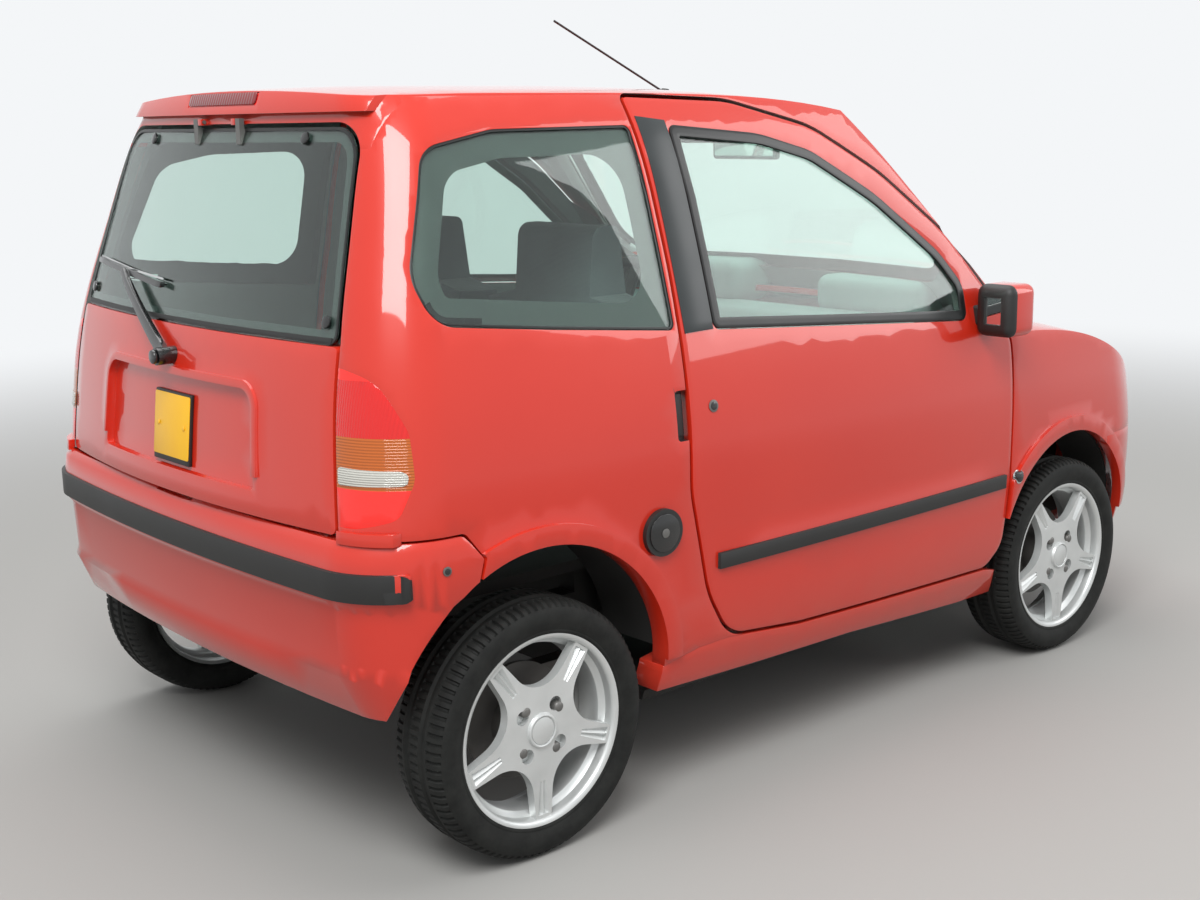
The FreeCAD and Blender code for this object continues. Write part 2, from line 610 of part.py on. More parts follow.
put("roof_panel", roof)


def gate_hinge(side):
    """The leaf on the glass and its pin, which turns in the roof's ear."""
    y0, y1 = sorted((side * (s.gate_hinge_y + 9), side * (s.gate_hinge_y + 25)))
    p0, p1 = sorted((side * (s.gate_hinge_y - 10), side * (s.gate_hinge_y + 25)))
    pin = Part.makeCylinder(s.hinge_pin, p1 - p0, Vector(s.gate_hinge_x, p0, s.gate_hinge_z),
                            Vector(0, 1, 0))
    leaf = box(s.gate_hinge_x - 6, s.gate_hinge_x + 4, y0, y1, s.gate_glass_top_z - 30, s.gate_hinge_z + 6)
    foot = box(s.gate_hinge_x - 6, -1150, y0, y1, s.gate_glass_top_z - 30, s.gate_glass_top_z - 2)
    return pin.fuse([leaf, foot]).cut(cab_form(s.glass_inset - s.glass_seat))


lamp_form = arch_form(roof_rows, 3).common(plan_form(-s.spoiler_proud + 2))
put("brake_lamp", lamp_form.common(brake_lamp_zone).cut(cab_form(20)))
put("gate_hinges", Part.makeCompound([gate_hinge(1), gate_hinge(-1)]))

strip_zone = box(-1500, -1240, -900, 900, s.strip_z - s.strip_height / 2, s.strip_z + s.strip_height / 2)
rear_strip = bumper_form(-s.strip_proud).cut(bumper_form(s.skin / 2)).common(strip_zone)
bumper_hollow = bumper_form(s.skin).cut(box(-1500, 1500, -900, 900, s.bumper_top_z - s.skin, 900))
bumper_arm = box(-1309, -1290 - s.glass_seat, s.bumper_arm_y - 25, s.bumper_arm_y + 25,
                 s.boot_z - 116, s.boot_z - 68).common(bumper_form(s.skin / 2))
lamp_step = plan_form(-s.wiper_proud).cut(cab_outer).common(
    box(-1500, -1240, 552, 645, s.bumper_top_z - 2, s.bumper_top_z + 20))
bumper_rear = bumper_form(0).cut([bumper_hollow, box(-1500, -1300, -72, 72, s.bumper_top_z - 6, 700)])
bumper_rear = bumper_rear.common(side_tool(bumper_outline, 1, 0, -900)).fuse([
    rear_strip, bumper_arm, mirrored(bumper_arm), lamp_step, mirrored(lamp_step),
]).cut([rear_opening, mirrored(rear_opening)])
put("bumper_rear", bumper_rear)
grille_slots = [box(1200, 1500, -250, 250, z, z + 26) for z in (300, 350, 400)]
bumper_front = lower_outer.common(front_bumper_zone).cut(lower_form(s.skin)).fuse([
    front_lip.common(front_bumper_zone), mirrored(front_lip).common(front_bumper_zone),
]).cut([front_opening, mirrored(front_opening)] + grille_slots)
put("bumper_front", bumper_front)

put("windscreen", glass_layer.common(screen_glass_tool))
ears, leaves, pins, holes = [], [], [], []
x, z = s.bonnet_hinge_x, s.bonnet_hinge_z
for side in (1, -1):
    y = side * s.bonnet_hinge_y
    out = sorted((y + side * 9, y + side * 25))
    reach = sorted((y - side * 10, y + side * 25))
    knuckle = Part.makeCylinder(s.hinge_knuckle, 14, Vector(x, y - 7, z), Vector(0, 1, 0))
    ears.append(box(x - 26, x, y - 7, y + 7, z - s.hinge_knuckle, z + 5).fuse(knuckle))
    holes.append(Part.makeCylinder(s.hinge_pin + s.bearing_gap, 20, Vector(x, y - 10, z), Vector(0, 1, 0)))
    leaves.append(box(x - 5, x + 20, out[0], out[1], z - 6, z + 4))
    pins.append(Part.makeCylinder(s.hinge_pin, reach[1] - reach[0], Vector(x, reach[0], z), Vector(0, 1, 0)))
put("cowl_panel", lower_shell.common(cowl_zone).fuse(ears).cut(holes).common(lower_outer))
put("bonnet", lower_shell.common(top_tool(bonnet_points, s.nose_z, 1200)).fuse(leaves + pins))
gate = cab_shell.common(rear_tool(both_halves(gate_panel_half)))
recess = rear_tool(both_halves(recess_half))
recess_rim = plan_form(-s.recess_rim_proud).cut(plan_form(s.recess_rim_proud)).common(
    rear_tool(both_halves(recess_half), s.recess_rim)).cut([recess, box(-1500, -1200, -900, 900, 0, 726)])
put("tailgate_panel", gate.fuse(recess_rim).cut(recess_layer.common(recess)))
put("tailgate_glass", glass_layer.common(rear_tool(both_halves(gate_glass_half))))


def wiper_tool(points):
    """A cutter from behind, drawn about the rear wiper's spindle."""
    return rear_tool([(s.wiper_y + y, s.wiper_z + z, r) for y, z, r in points])


def blade_outline(half):
    (y0, z0), (y1, z1) = wiper_blade
    return [(y0, z0 - half, 0), (y1, z1 - half, 0), (y1, z1 + half, 0), (y0, z0 + half, 0)]


under_arm = plan_form(-s.wiper_proud)
under_blade = plan_form(-2)
arm = plan_form(-s.wiper_proud - s.wiper_arm).cut(under_arm).common(wiper_tool(wiper_arm))
blade = under_arm.cut(under_blade).common(wiper_tool(blade_outline(s.wiper_blade)))
lip = under_blade.cut(cab_form(s.glass_inset)).common(wiper_tool(blade_outline(s.wiper_blade / 3)))
boss = Part.makeCylinder(s.wiper_boss, 60, Vector(-1290, s.wiper_y, s.wiper_z), Vector(-1, 0, 0))
put("rear_wiper", arm.fuse([blade, lip, boss.cut(cab_outer)]))

# What stands inside and under the shell is built from solids bound to the sheet.


def bound(text):
    """An expression in the sheet's words."""
    return re.sub(r"[a-z]+_?[a-z_]*", lambda word: "Sizes." + word.group(0), str(text))


def bind(item, **properties):
    for prop, text in properties.items():
        item.setExpression(prop.replace("__", "."), bound(text))
    return item


def block(x0, x1, y0, y1, z0, z1):
    item = doc.addObject("Part::Box", "Block")
    return bind(item, Length=f"({x1}) - ({x0})", Width=f"({y1}) - ({y0})", Height=f"({z1}) - ({z0})",
                Placement__Base__x=x0, Placement__Base__y=y0, Placement__Base__z=z0)


def rod(radius, length, x, y, z, axis="z"):
    """A round bar from (x, y, z) along an axis."""
    item = doc.addObject("Part::Cylinder", "Rod")
    turn = {"z": Rotation(), "y": Rotation(Vector(1, 0, 0), -90), "x": Rotation(Vector(0, 1, 0), 90)}
    item.Placement = Placement(Vector(), turn[axis])
    return bind(item, Radius=radius, Height=length, Placement__Base__x=x, Placement__Base__y=y,
                Placement__Base__z=z)


def joined(label, pieces):
    item = doc.addObject("Part::MultiFuse", label)
    item.Label = label
    item.Shapes = pieces
    return item


def less(label, base, tool):
    item = doc.addObject("Part::Cut", label)
    item.Label = label
    item.Base, item.Tool = base, tool
    return item


def within(label, base, tool):
    item = doc.addObject("Part::Common", label)
    item.Label = label
    item.Base, item.Tool = base, tool
    return item


def helper(label, shape):
    """A cutter that isn't a sub-part."""
    item = doc.addObject("Part::Feature", label)
    item.Shape = shape
    return item


def keep(item, label):
    item.Label = label
    sub_parts.append(item)
    return item


def pair(make):
    """The same pieces on the left and the right; make is called with the side's sign."""
    return [piece for sign in ("", "-") for piece in make(sign)]


def span(sign, low, high):
    """Ends of a stretch between two distances from the centre plane, on one side."""
    return (f"-({high})", f"-({low})") if sign else (low, high)


room = helper("Room", plan_form(s.sill_depth + s.glass_seat))


def hinge_arm(sign, z):
    """A door hinge's arm from the pillar to its eye and pin."""
    yield block("door_hinge_x - 4", "door_hinge_x + 4", *span(sign, "floor_y", "door_hinge_y"),
                f"{z} - hinge_width / 2", f"{z} + hinge_width / 2")
    yield rod("hinge_eye", "hinge_width", "door_hinge_x", f"{sign}door_hinge_y", f"{z} - hinge_width / 2")
    yield rod("door_pin", "hinge_width + 2 * door_pin_end", "door_hinge_x", f"{sign}door_hinge_y",
              f"{z} - hinge_width / 2 - door_pin_end")


def floor_side(sign):
    yield block("firewall_x + firewall_plate", "door_hinge_x + 16",
                *span(sign, "floor_y - 60", "floor_y + 44"),
                "hinge_low_z - 16", "dash_top_z - 36")
    yield block("firewall_x", "door_hinge_x + 16", *span(sign, "floor_y - 60", "floor_y"),
                "hinge_low_z - 16", "dash_top_z - 16")
    y0, y1 = span(sign, "rail_y - rail_width / 2", "rail_y + rail_width / 2")
    w0, w1 = span(sign, "rail_y + rail_width / 2 + 16", "rail_y + rail_width / 2 + 22")
    t0, t1 = span(sign, "rail_y + rail_width / 2", "strut_y + 50")
    r0, r1 = span(sign, "400", "450")
    p0, p1 = span(sign, "seat_y - seat_width / 2 + 40", "seat_y + seat_width / 2 - 40")
    yield block("firewall_x", "1240", y0, y1, "rail_z", "rail_z + rail_height")
    yield block("firewall_x", "1100", w0, w1, "rail_z + rail_height", "strut_top")
    yield block("firewall_x", "1100", *span(sign, "rail_y - rail_width / 2", "rail_y + rail_width / 2 + 22"),
                "rail_z + rail_height - 12", "rail_z + rail_height")
    yield block("front_axle_x - 60", "front_axle_x + 60",
                *span(sign, "rail_y + rail_width / 2 + 16", "strut_y + 40"),
                "strut_top", "strut_top + 10")
    yield block("jack_x - jack_length / 2", "jack_x + jack_length / 2", y0, y1, "rail_z - jack_depth",
                "rail_z")
    yield block("-1290", "boot_wall_x", r0, r1, "boot_z - 120", "boot_z - 64")
    yield block("-1240", "-1180", r0, r1, "boot_z - 64", "boot_z")
    yield block("boot_wall_x - 60", "boot_wall_x", r0, r1, "boot_z - 64", "boot_z")
    yield block("seat_back_x + 40", "seat_front_x - 60", p0, p1, "floor_z + floor_plate",
                "seat_z - seat_pad / 2 - glass_seat")


floor_pieces = [
    block("boot_wall_x", "firewall_x + firewall_plate", "-floor_y", "floor_y", "floor_z",
          "floor_z + floor_plate"),
    block("firewall_x", "firewall_x + firewall_plate", "-floor_y", "floor_y", "floor_z",
          "dash_top_z - 16"),
    block("boot_wall_x", "boot_wall_x + floor_plate", "-500", "500", "floor_z", "boot_z + floor_plate"),
    block("-1290", "boot_wall_x", "-500", "500", "boot_z", "boot_z + floor_plate"),
    block("1180", "1240", "-rail_y", "rail_y", "rail_z", "rail_z + rail_height"),
] + pair(floor_side)
tow_hole = rod("tow_hole_radius", "tow_hole_depth + 1", "tow_x", "-tow_y", "boot_z - 121")
hinge_arms = [piece for z in ("hinge_low_z", "hinge_high_z")
              for piece in pair(lambda sign: hinge_arm(sign, z))]
floor = within("FloorRoom", joined("FloorPieces", floor_pieces), room)
keep(less("floor_pan", joined("FloorAndHinges", [floor] + hinge_arms), tow_hole), "floor_pan")

engine = joined("engine_block", [
    block("engine_x - engine_length / 2", "engine_x + engine_length / 2", "-engine_width / 2",
          "engine_width / 2", "rail_z + 20", "rail_z + 20 + engine_height"),
    block("engine_x - 30", "engine_x + 30", "-rail_y", "rail_y", "rail_z + rail_height + glass_seat",
          "rail_z + rail_height + 40"),
])
keep(engine, "engine_block")

axle_z = "tyre_radius"


def front_leg(sign):
    a0, a1 = span(sign, "rail_y - rail_width / 2", "kingpin_y")
    b0, b1 = span(sign, "strut_y - strut_radius", "kingpin_y")
    c0, c1 = span(sign, "rail_y - 20", "rail_y + 20")
    low, high = "tyre_radius - knuckle_half", "tyre_radius + knuckle_half"
    yield block("front_axle_x - 24", "front_axle_x + 24", a0, a1, f"{low} - 20", f"{low} - bearing_gap")
    yield block("front_axle_x - 24", "front_axle_x + 24", c0, c1, f"{low} - 10", "rail_z - glass_seat")
    yield block("front_axle_x - 24", "front_axle_x + 24", b0, b1, f"{high} + bearing_gap", f"{high} + 20")
    yield rod("knuckle_radius", "20 - bearing_gap", "front_axle_x", f"{sign}kingpin_y", f"{low} - 20")
    yield rod("knuckle_radius", "20 - bearing_gap", "front_axle_x", f"{sign}kingpin_y",
              f"{high} + bearing_gap")
    yield rod("kingpin_radius", "16", "front_axle_x", f"{sign}kingpin_y", f"{low} - 4")
    yield rod("kingpin_radius", "16", "front_axle_x", f"{sign}kingpin_y", f"{high} - 12")
    yield rod("strut_radius", f"strut_top - glass_seat - ({high}) - 10", "front_axle_x",
              f"{sign}strut_y", f"{high} + 10")


keep(joined("front_suspension", pair(front_leg)), "front_suspension")


def rear_leg(sign):
    yield rod("spindle_radius", "90", "front_axle_x - wheelbase", f"{sign}540" if not sign else "-630",
              "tyre_radius", "y")
    yield block("front_axle_x - wheelbase - 25", "boot_wall_x - glass_seat", *span(sign, "400", "440"),
                "tyre_radius - 25", "tyre_radius + 25")
    yield rod("20", "boot_z - 120 - glass_seat - tyre_radius", "front_axle_x - wheelbase",
              f"{sign}425", "tyre_radius")


keep(joined("rear_axle", pair(rear_leg) + [
    rod("axle_tube_radius", "1100", "front_axle_x - wheelbase", "-550", "tyre_radius", "y")]),
    "rear_axle")

for name, sign in (("left", ""), ("right", "-")):
    y = f"{sign}kingpin_y"
    upright = rod("knuckle_radius", "2 * knuckle_half", "front_axle_x", y, "tyre_radius - knuckle_half")
    spindle = rod("spindle_radius", "70", "front_axle_x", "kingpin_y" if not sign else "-kingpin_y - 70",
                  "tyre_radius", "y")
    arm = block("front_axle_x - 110", "front_axle_x", f"{y} - 9", f"{y} + 9", "tyre_radius - 12",
                "tyre_radius + 12")
    body = joined("KnuckleBody", [upright, spindle, arm])
    holes = joined("KnuckleHoles", [
        rod("kingpin_radius + bearing_gap", "14", "front_axle_x", y, "tyre_radius - knuckle_half - 1"),
        rod("kingpin_radius + bearing_gap", "14", "front_axle_x", y, "tyre_radius + knuckle_half - 13")])
    keep(less(f"knuckle_{name}", body, holes), f"knuckle_{name}")


def revolved(points, angle=360):
    """A ring about the wheel's own Y axis from (radius, y) corners with corner radii."""
    face = rounded_face([(r, y, c) for r, y, c in points], lambda a, b: Vector(a, b, 0))
    return face.revolve(Vector(), Vector(0, 1, 0), angle)


# Wheel in its own frame: y is outwards from the wheel's middle plane.
half_tyre, half_rim = s.tyre_width / 2, s.rim_width / 2
seat, barrel = s.rim_radius, s.rim_radius - s.rim_wall
tyre_side = [
    (seat + s.glass_seat, half_tyre - 18), (seat + 28, half_tyre),
    (s.tyre_radius - 13, half_tyre - 6), (s.tyre_radius, half_tyre - s.tyre_shoulder),
]
tyre_shape = revolved([(r, -y, 0) for r, y in tyre_side] + [(r, y, 0) for r, y in reversed(tyre_side)])
rim_side = [(seat, half_rim - 1), (seat + 6, half_rim - 0.6), (seat + 6, half_rim + 5),
            (barrel, half_rim + 5)]
rim_barrel = revolved([(r, -y, 0) for r, y in rim_side[::-1]] + [(r, y, 0) for r, y in rim_side])
face_y = half_rim - s.rim_face_inset
bore = s.spindle_radius + s.bearing_gap


def disc(radius, y0, y1):
    return Part.makeCylinder(radius, y1 - y0, Vector(0, y0, 0), Vector(0, 1, 0))


plate = disc(barrel + 2, face_y - s.spoke_plate, face_y)
window = Part.makeCylinder(s.window_radius, 60, Vector(0, face_y - 40, s.window_reach), Vector(0, 1, 0))
window = window.common(disc(barrel - 16, face_y - 40, face_y + 20))
turns = [360 / s.spokes * k for k in range(int(s.spokes))]


def turned(shape, angle):
    copy = shape.copy()
    copy.rotate(Vector(), Vector(0, 1, 0), angle)
    return copy


lug = Part.makeCylinder(s.lug_radius, 80, Vector(0, face_y - 60, s.lug_circle), Vector(0, 1, 0))
hub_back = face_y - 44
rim_shape = rim_barrel.fuse([plate, disc(s.hub_radius, hub_back, face_y),
                             disc(s.disc_radius, hub_back - s.disc_plate, hub_back)])
groove = rounded_face([(-3, -92, 3), (3, -92, 3), (9, -158, 5), (-9, -158, 5)],
                      lambda a, b: Vector(a, face_y - s.groove_depth, b)).extrude(Vector(0, 20, 0))
rim_shape = rim_shape.cut([turned(tool, angle) for tool in (window, groove) for angle in turns]
                          + [turned(lug, 360 / s.lugs * k + 45) for k in range(int(s.lugs))]
                          + [disc(bore, hub_back - 30, face_y - 12)])
rim_shape = rim_shape.removeSplitter()
wheel_y = s.wheel_face_y - half_tyre
for place, x in (("front", s.front_axle_x), ("rear", rear_axle_x)):
    for name, sign in sides.items():
        at = Placement(Vector(x, sign * wheel_y, s.tyre_radius),
                       Rotation(Vector(0, 0, 1), 0 if sign == 1 else 180))
        for label, shape in (("tyre", tyre_shape), ("rim", rim_shape)):
            item = add_shape(f"{label}_{place}_{name}", shape)
            item.Placement = at

seat_depth = s.seat_front_x - s.seat_back_x
low = s.seat_z - s.seat_pad / 2
seat_profile = [
    (s.seat_front_x, low, 40), (s.seat_front_x, low + s.seat_pad, 55),
    (s.seat_back_x + 50, low + s.seat_pad - 14, 30),
    (s.seat_back_x - 60, s.seat_top_z, 40), (s.seat_back_x - 82, s.headrest_top_z, 20),
    (s.seat_back_x - 150, s.headrest_top_z, 30), (s.seat_back_x - 165, s.seat_top_z, 40),
    (s.seat_back_x - 60, low, 60),
]
for name, sign in sides.items():
    y0 = sign * s.seat_y - s.seat_width / 2
    seat = rounded_face(seat_profile, lambda a, b: Vector(a, y0, b)).extrude(Vector(0, s.seat_width, 0))
    add_shape(f"seat_{name}", seat)

dash_profile = [
    (s.dash_x, s.dash_z + 40, 40), (s.dash_x - 20, s.dash_top_z - 60, 30),
    (s.dash_x + 40, s.dash_top_z, 40), (s.firewall_x - s.glass_seat, s.dash_top_z, 0),
    (s.firewall_x - s.glass_seat, s.dash_z, 0), (s.dash_x + 60, s.dash_z, 40),
]
dash = rounded_face(dash_profile, lambda a, b: Vector(a, -560, b)).extrude(Vector(0, 1120, 0))
dash = dash.common(plan_form(s.wall + 60))

tilt = math.radians(s.steering_tilt)
column = Vector(-math.cos(tilt), 0, math.sin(tilt))
centre = Vector(s.steering_x, s.seat_y, s.steering_z)
shaft_length = (s.dash_x + s.shaft_depth - s.steering_x) / math.cos(tilt)
add_shape("dashboard", dash.cut(Part.makeCylinder(s.shaft_radius + s.bearing_gap, shaft_length + 10,
                                                  centre, column * -1)))
rim_ring = Part.makeTorus(s.steering_radius, s.steering_grip, centre, column)
pieces = [Part.makeCylinder(30, 40, centre - column * 34, column),
          Part.makeCylinder(s.shaft_radius, shaft_length, centre, column * -1)]
for angle in (0, 180, 270):
    spoke = Part.makeBox(s.steering_radius, 34, 12, Vector(0, -17, -6))
    spoke.Placement = Placement(centre - column * 8, Rotation(Vector(0, 0, 1), column)
                                .multiply(Rotation(Vector(0, 0, 1), angle + 90)))
    pieces.append(spoke)
put("steering_wheel", rim_ring.fuse(pieces))

for name, sign in sides.items():
    housing = box(s.mirror_x - s.mirror_length / 2, s.mirror_x + s.mirror_length / 2,
                  sign * s.mirror_y - s.mirror_width / 2, sign * s.mirror_y + s.mirror_width / 2,
                  s.mirror_z - s.mirror_height / 2, s.mirror_z + s.mirror_height / 2)
    housing = housing.makeFillet(s.mirror_round, housing.Edges)
    inner, outer = sorted((sign * 600, sign * s.mirror_y))
    foot = box(s.mirror_x - 40, s.mirror_x, inner, outer, s.mirror_z - 36, s.mirror_z + 8)
    put(f"mirror_{name}", housing.fuse(foot).cut(plan_form(-s.glass_seat)))



def roof_height(x):
    """Height of the roof on the centre plane."""
    line = Part.makeLine(Vector(x, 0, 0), Vector(x, 0, 3000))
    return arch_form(roof_rows, 0).common(line).BoundBox.ZMax


fall = math.atan2(roof_height(s.antenna_x) - roof_height(s.antenna_x + 20), 20)
level = Rotation(Vector(0, 1, 0), math.degrees(fall))
foot = Vector(s.antenna_x, 0, roof_height(s.antenna_x)) + level.multVec(Vector(0, 0, s.glass_seat))
lean = Rotation(Vector(0, 1, 0), -s.antenna_lean).multVec(Vector(0, 0, 1))
foot_cone = Part.makeCone(19, 9, 26, foot, level.multVec(Vector(0, 0, 1)))
whip = Part.makeCylinder(2.5, s.antenna_length, foot + Vector(0, 0, 18), lean)
put("antenna", foot_cone.fuse(whip))
cap = Part.makeCylinder(s.cap_radius, 60, Vector(s.cap_x, -735, s.cap_z), Vector(0, 1, 0))
put("fuel_cap", cap.common(plan_form(-10)).cut(plan_form(-0.4)))
plate_layer = cab_form(s.recess_depth - s.plate_thickness).cut(cab_form(s.recess_depth - s.glass_seat))
plate_area = box(-1400, -1200, -s.plate_width / 2, s.plate_width / 2,
                 s.plate_z - s.plate_height / 2, s.plate_z + s.plate_height / 2)
put("number_plate", plate_layer.common(plate_area))
doc.recompute()

for item in doc.Objects:
    if "Invalid" in item.State or "Error" in item.State:
        raise RuntimeError(f"{item.Label} failed: {item.State}")
for item in sub_parts:
    if item.Shape.isNull() or not item.Shape.isValid():
        raise RuntimeError(f"{item.Label} has no valid shape")
os.makedirs("parts", exist_ok=True)
for item in sub_parts:
    item.Shape.exportStep(f"parts/{item.Label}.step")
print(len(sub_parts), "sub-parts are written")
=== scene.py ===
import json
import math

import bmesh
import bpy
from mathutils import Matrix, Vector


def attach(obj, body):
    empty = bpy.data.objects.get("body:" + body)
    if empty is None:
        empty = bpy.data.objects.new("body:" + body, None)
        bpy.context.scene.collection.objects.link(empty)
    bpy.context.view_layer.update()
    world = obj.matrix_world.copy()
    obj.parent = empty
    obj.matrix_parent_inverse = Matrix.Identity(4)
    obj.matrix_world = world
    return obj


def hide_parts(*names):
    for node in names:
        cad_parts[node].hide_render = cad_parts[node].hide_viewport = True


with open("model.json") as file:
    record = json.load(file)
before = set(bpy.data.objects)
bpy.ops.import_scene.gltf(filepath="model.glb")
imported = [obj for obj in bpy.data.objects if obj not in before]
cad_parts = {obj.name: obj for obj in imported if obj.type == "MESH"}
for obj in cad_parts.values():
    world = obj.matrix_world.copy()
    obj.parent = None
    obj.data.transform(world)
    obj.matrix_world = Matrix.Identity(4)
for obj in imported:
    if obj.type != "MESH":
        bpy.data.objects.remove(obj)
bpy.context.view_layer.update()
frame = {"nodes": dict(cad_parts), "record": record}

nodes = frame["nodes"]
bodyOf = {node: body for body, members in frame["record"]["behaviour"]["bodies"].items()
          for node in members}
mm = 0.001
sides = {"left": 1, "right": -1}     # the sign of y on that side

# Camera where the photograph was taken from, in the row frame

cameraPlace = {
    "location": (-2.673, -2.807, 1.348),
    "yaw": 49.0,
    "pitch": -11.92,
    "roll": -1.05,
    "focalLength": 47.44,
    "sensorWidth": 36.0,
}

def makeCamera(place):
    data = bpy.data.cameras.new("photoCamera")
    data.lens = place["focalLength"]
    data.sensor_width = place["sensorWidth"]
    data.clip_start, data.clip_end = 0.1, 200
    camera = bpy.data.objects.new("photoCamera", data)
    bpy.context.collection.objects.link(camera)
    turn = Matrix.Rotation(math.radians(place["yaw"] - 90), 4, "Z")
    tilt = Matrix.Rotation(math.radians(90 + place["pitch"]), 4, "X")
    lean = Matrix.Rotation(math.radians(place["roll"]), 4, "Z")
    camera.matrix_world = Matrix.Translation(place["location"]) @ turn @ tilt @ lean
    bpy.context.scene.camera = camera

makeCamera(cameraPlace)
print("camera is in place")

# Materials

def hexColor(text):
    channels = [int(text[i:i + 2], 16) / 255 for i in (0, 2, 4)]
    linear = [c / 12.92 if c <= 0.04045 else ((c + 0.055) / 1.055) ** 2.4 for c in channels]
    return (*linear, 1.0)

def newMaterial(name, finish):       # finish: the settings that are even over the whole surface
    material = bpy.data.materials.new(name)
    material.use_nodes = True
    tree = material.node_tree
    shader = tree.nodes["Principled BSDF"]
    for key, value in finish.items():
        shader.inputs[key].default_value = value
    return material, tree, shader

# adds a node; its first output goes to a socket, and a ramp takes its stops
def addNode(tree, kind, inputs=None, to=None, stops=(), **settings):
    node = tree.nodes.new(kind)
    for key, value in settings.items():
        setattr(node, key, value)
    for key, value in (inputs or {}).items():
        if isinstance(value, bpy.types.NodeSocket):
            tree.links.new(value, node.inputs[key])
        else:
            node.inputs[key].default_value = value
    for element, (position, color) in zip(node.color_ramp.elements if stops else (), stops):
        element.position, element.color = position, color
    if to is not None:
        tree.links.new(next(socket for socket in node.outputs if socket.enabled), to)
    return node

# two shades, and a span of roughness if there is one, follow the same pattern over a surface
def mottled(tree, shader, pattern, shade, roughness=None):
    addNode(tree, "ShaderNodeMix", {"Factor": pattern, "A": hexColor(shade[0]), "B": hexColor(shade[1])},
            to=shader.inputs["Base Color"], data_type="RGBA")
    if roughness:
        addNode(tree, "ShaderNodeMapRange", {"Value": pattern, "To Min": roughness[0],
                                             "To Max": roughness[1]}, to=shader.inputs["Roughness"])

# light from the lamps goes straight through, coloured by the tint
def clearToLamps(tree, shader, tint):
    rays = addNode(tree, "ShaderNodeLightPath")
    passing = addNode(tree, "ShaderNodeBsdfTransparent", {"Color": hexColor(tint)})
    addNode(tree, "ShaderNodeMixShader", {0: rays.outputs["Is Shadow Ray"], 1: shader.outputs[0],
                                          2: passing.outputs[0]},
            to=tree.nodes["Material Output"].inputs["Surface"])

# Two-pack acrylic enamel sprayed on moulded panels: an even coral red under a clear gloss,
# with faint orange peel, and a matt film of road dust low on the body.
def sprayedEnamel(name, shade, dustHeight=0.42, dust="8a6a5c"):
    material, tree, shader = newMaterial(name, {"Specular IOR Level": 0.22, "Coat Weight": 1.0,
                                                "Coat Roughness": 0.035, "Coat IOR": 1.5})
    point = addNode(tree, "ShaderNodeTexCoord").outputs["Object"]
    cloud = addNode(tree, "ShaderNodeTexNoise", {"Vector": point, "Scale": 3.5, "Detail": 4.0})
    height = addNode(tree, "ShaderNodeSeparateXYZ", {"Vector": point}).outputs["Z"]
    low = addNode(tree, "ShaderNodeMapRange", {"Value": height, "From Min": dustHeight, "From Max": 0.20,
                                               "To Min": 0.0, "To Max": 0.34}, clamp=True)
    patchy = addNode(tree, "ShaderNodeTexNoise", {"Vector": point, "Scale": 14.0, "Detail": 8.0,
                                                  "Roughness": 0.65})
    film = addNode(tree, "ShaderNodeMath", {0: low.outputs[0], 1: patchy.outputs["Fac"]},
                   operation="MULTIPLY")
    tone = addNode(tree, "ShaderNodeMix", {"Factor": cloud.outputs["Fac"], "A": hexColor(shade[0]),
                                           "B": hexColor(shade[1])}, data_type="RGBA")
    addNode(tree, "ShaderNodeMix", {"Factor": film.outputs[0], "A": tone.outputs["Result"],
                                    "B": hexColor(dust)}, to=shader.inputs["Base Color"], data_type="RGBA")
    addNode(tree, "ShaderNodeMapRange", {"Value": film.outputs[0], "From Max": 0.3, "To Min": 0.30,
                                         "To Max": 0.62}, to=shader.inputs["Roughness"])
    peel = addNode(tree, "ShaderNodeTexNoise", {"Vector": point, "Scale": 260.0, "Detail": 2.0})
    addNode(tree, "ShaderNodeBump", {"Height": peel.outputs["Fac"], "Strength": 0.02, "Distance": 0.001},
            to=shader.inputs["Normal"])
    return material

# Moulded plastic: a fine spark-eroded grain, its shade a little uneven with age. With a coarser grain
# it is also the underseal and the felt of the headlining.
def grainedPlastic(name, shade, roughness, grainSize=0.9, depth=0.12):
    material, tree, shader = newMaterial(name, {})
    point = addNode(tree, "ShaderNodeTexCoord").outputs["Object"]
    worn = addNode(tree, "ShaderNodeTexNoise", {"Vector": point, "Scale": 9.0, "Detail": 6.0})
    mottled(tree, shader, worn.outputs["Fac"], shade, (roughness - 0.08, roughness + 0.08))
    grain = addNode(tree, "ShaderNodeTexNoise", {"Vector": point, "Scale": 1000 / grainSize / 2,
                                                 "Detail": 3.0})
    addNode(tree, "ShaderNodeBump", {"Height": grain.outputs["Fac"], "Strength": depth,
                                     "Distance": 0.0004}, to=shader.inputs["Normal"])
    return material

# Tinted float glass: clear with a green cast.
def windowGlass(name, tint):
    material, tree, shader = newMaterial(name, {"Base Color": hexColor(tint), "Roughness": 0.0, "IOR": 1.5,
                                                "Transmission Weight": 1.0})
    clearToLamps(tree, shader, tint)
    return material

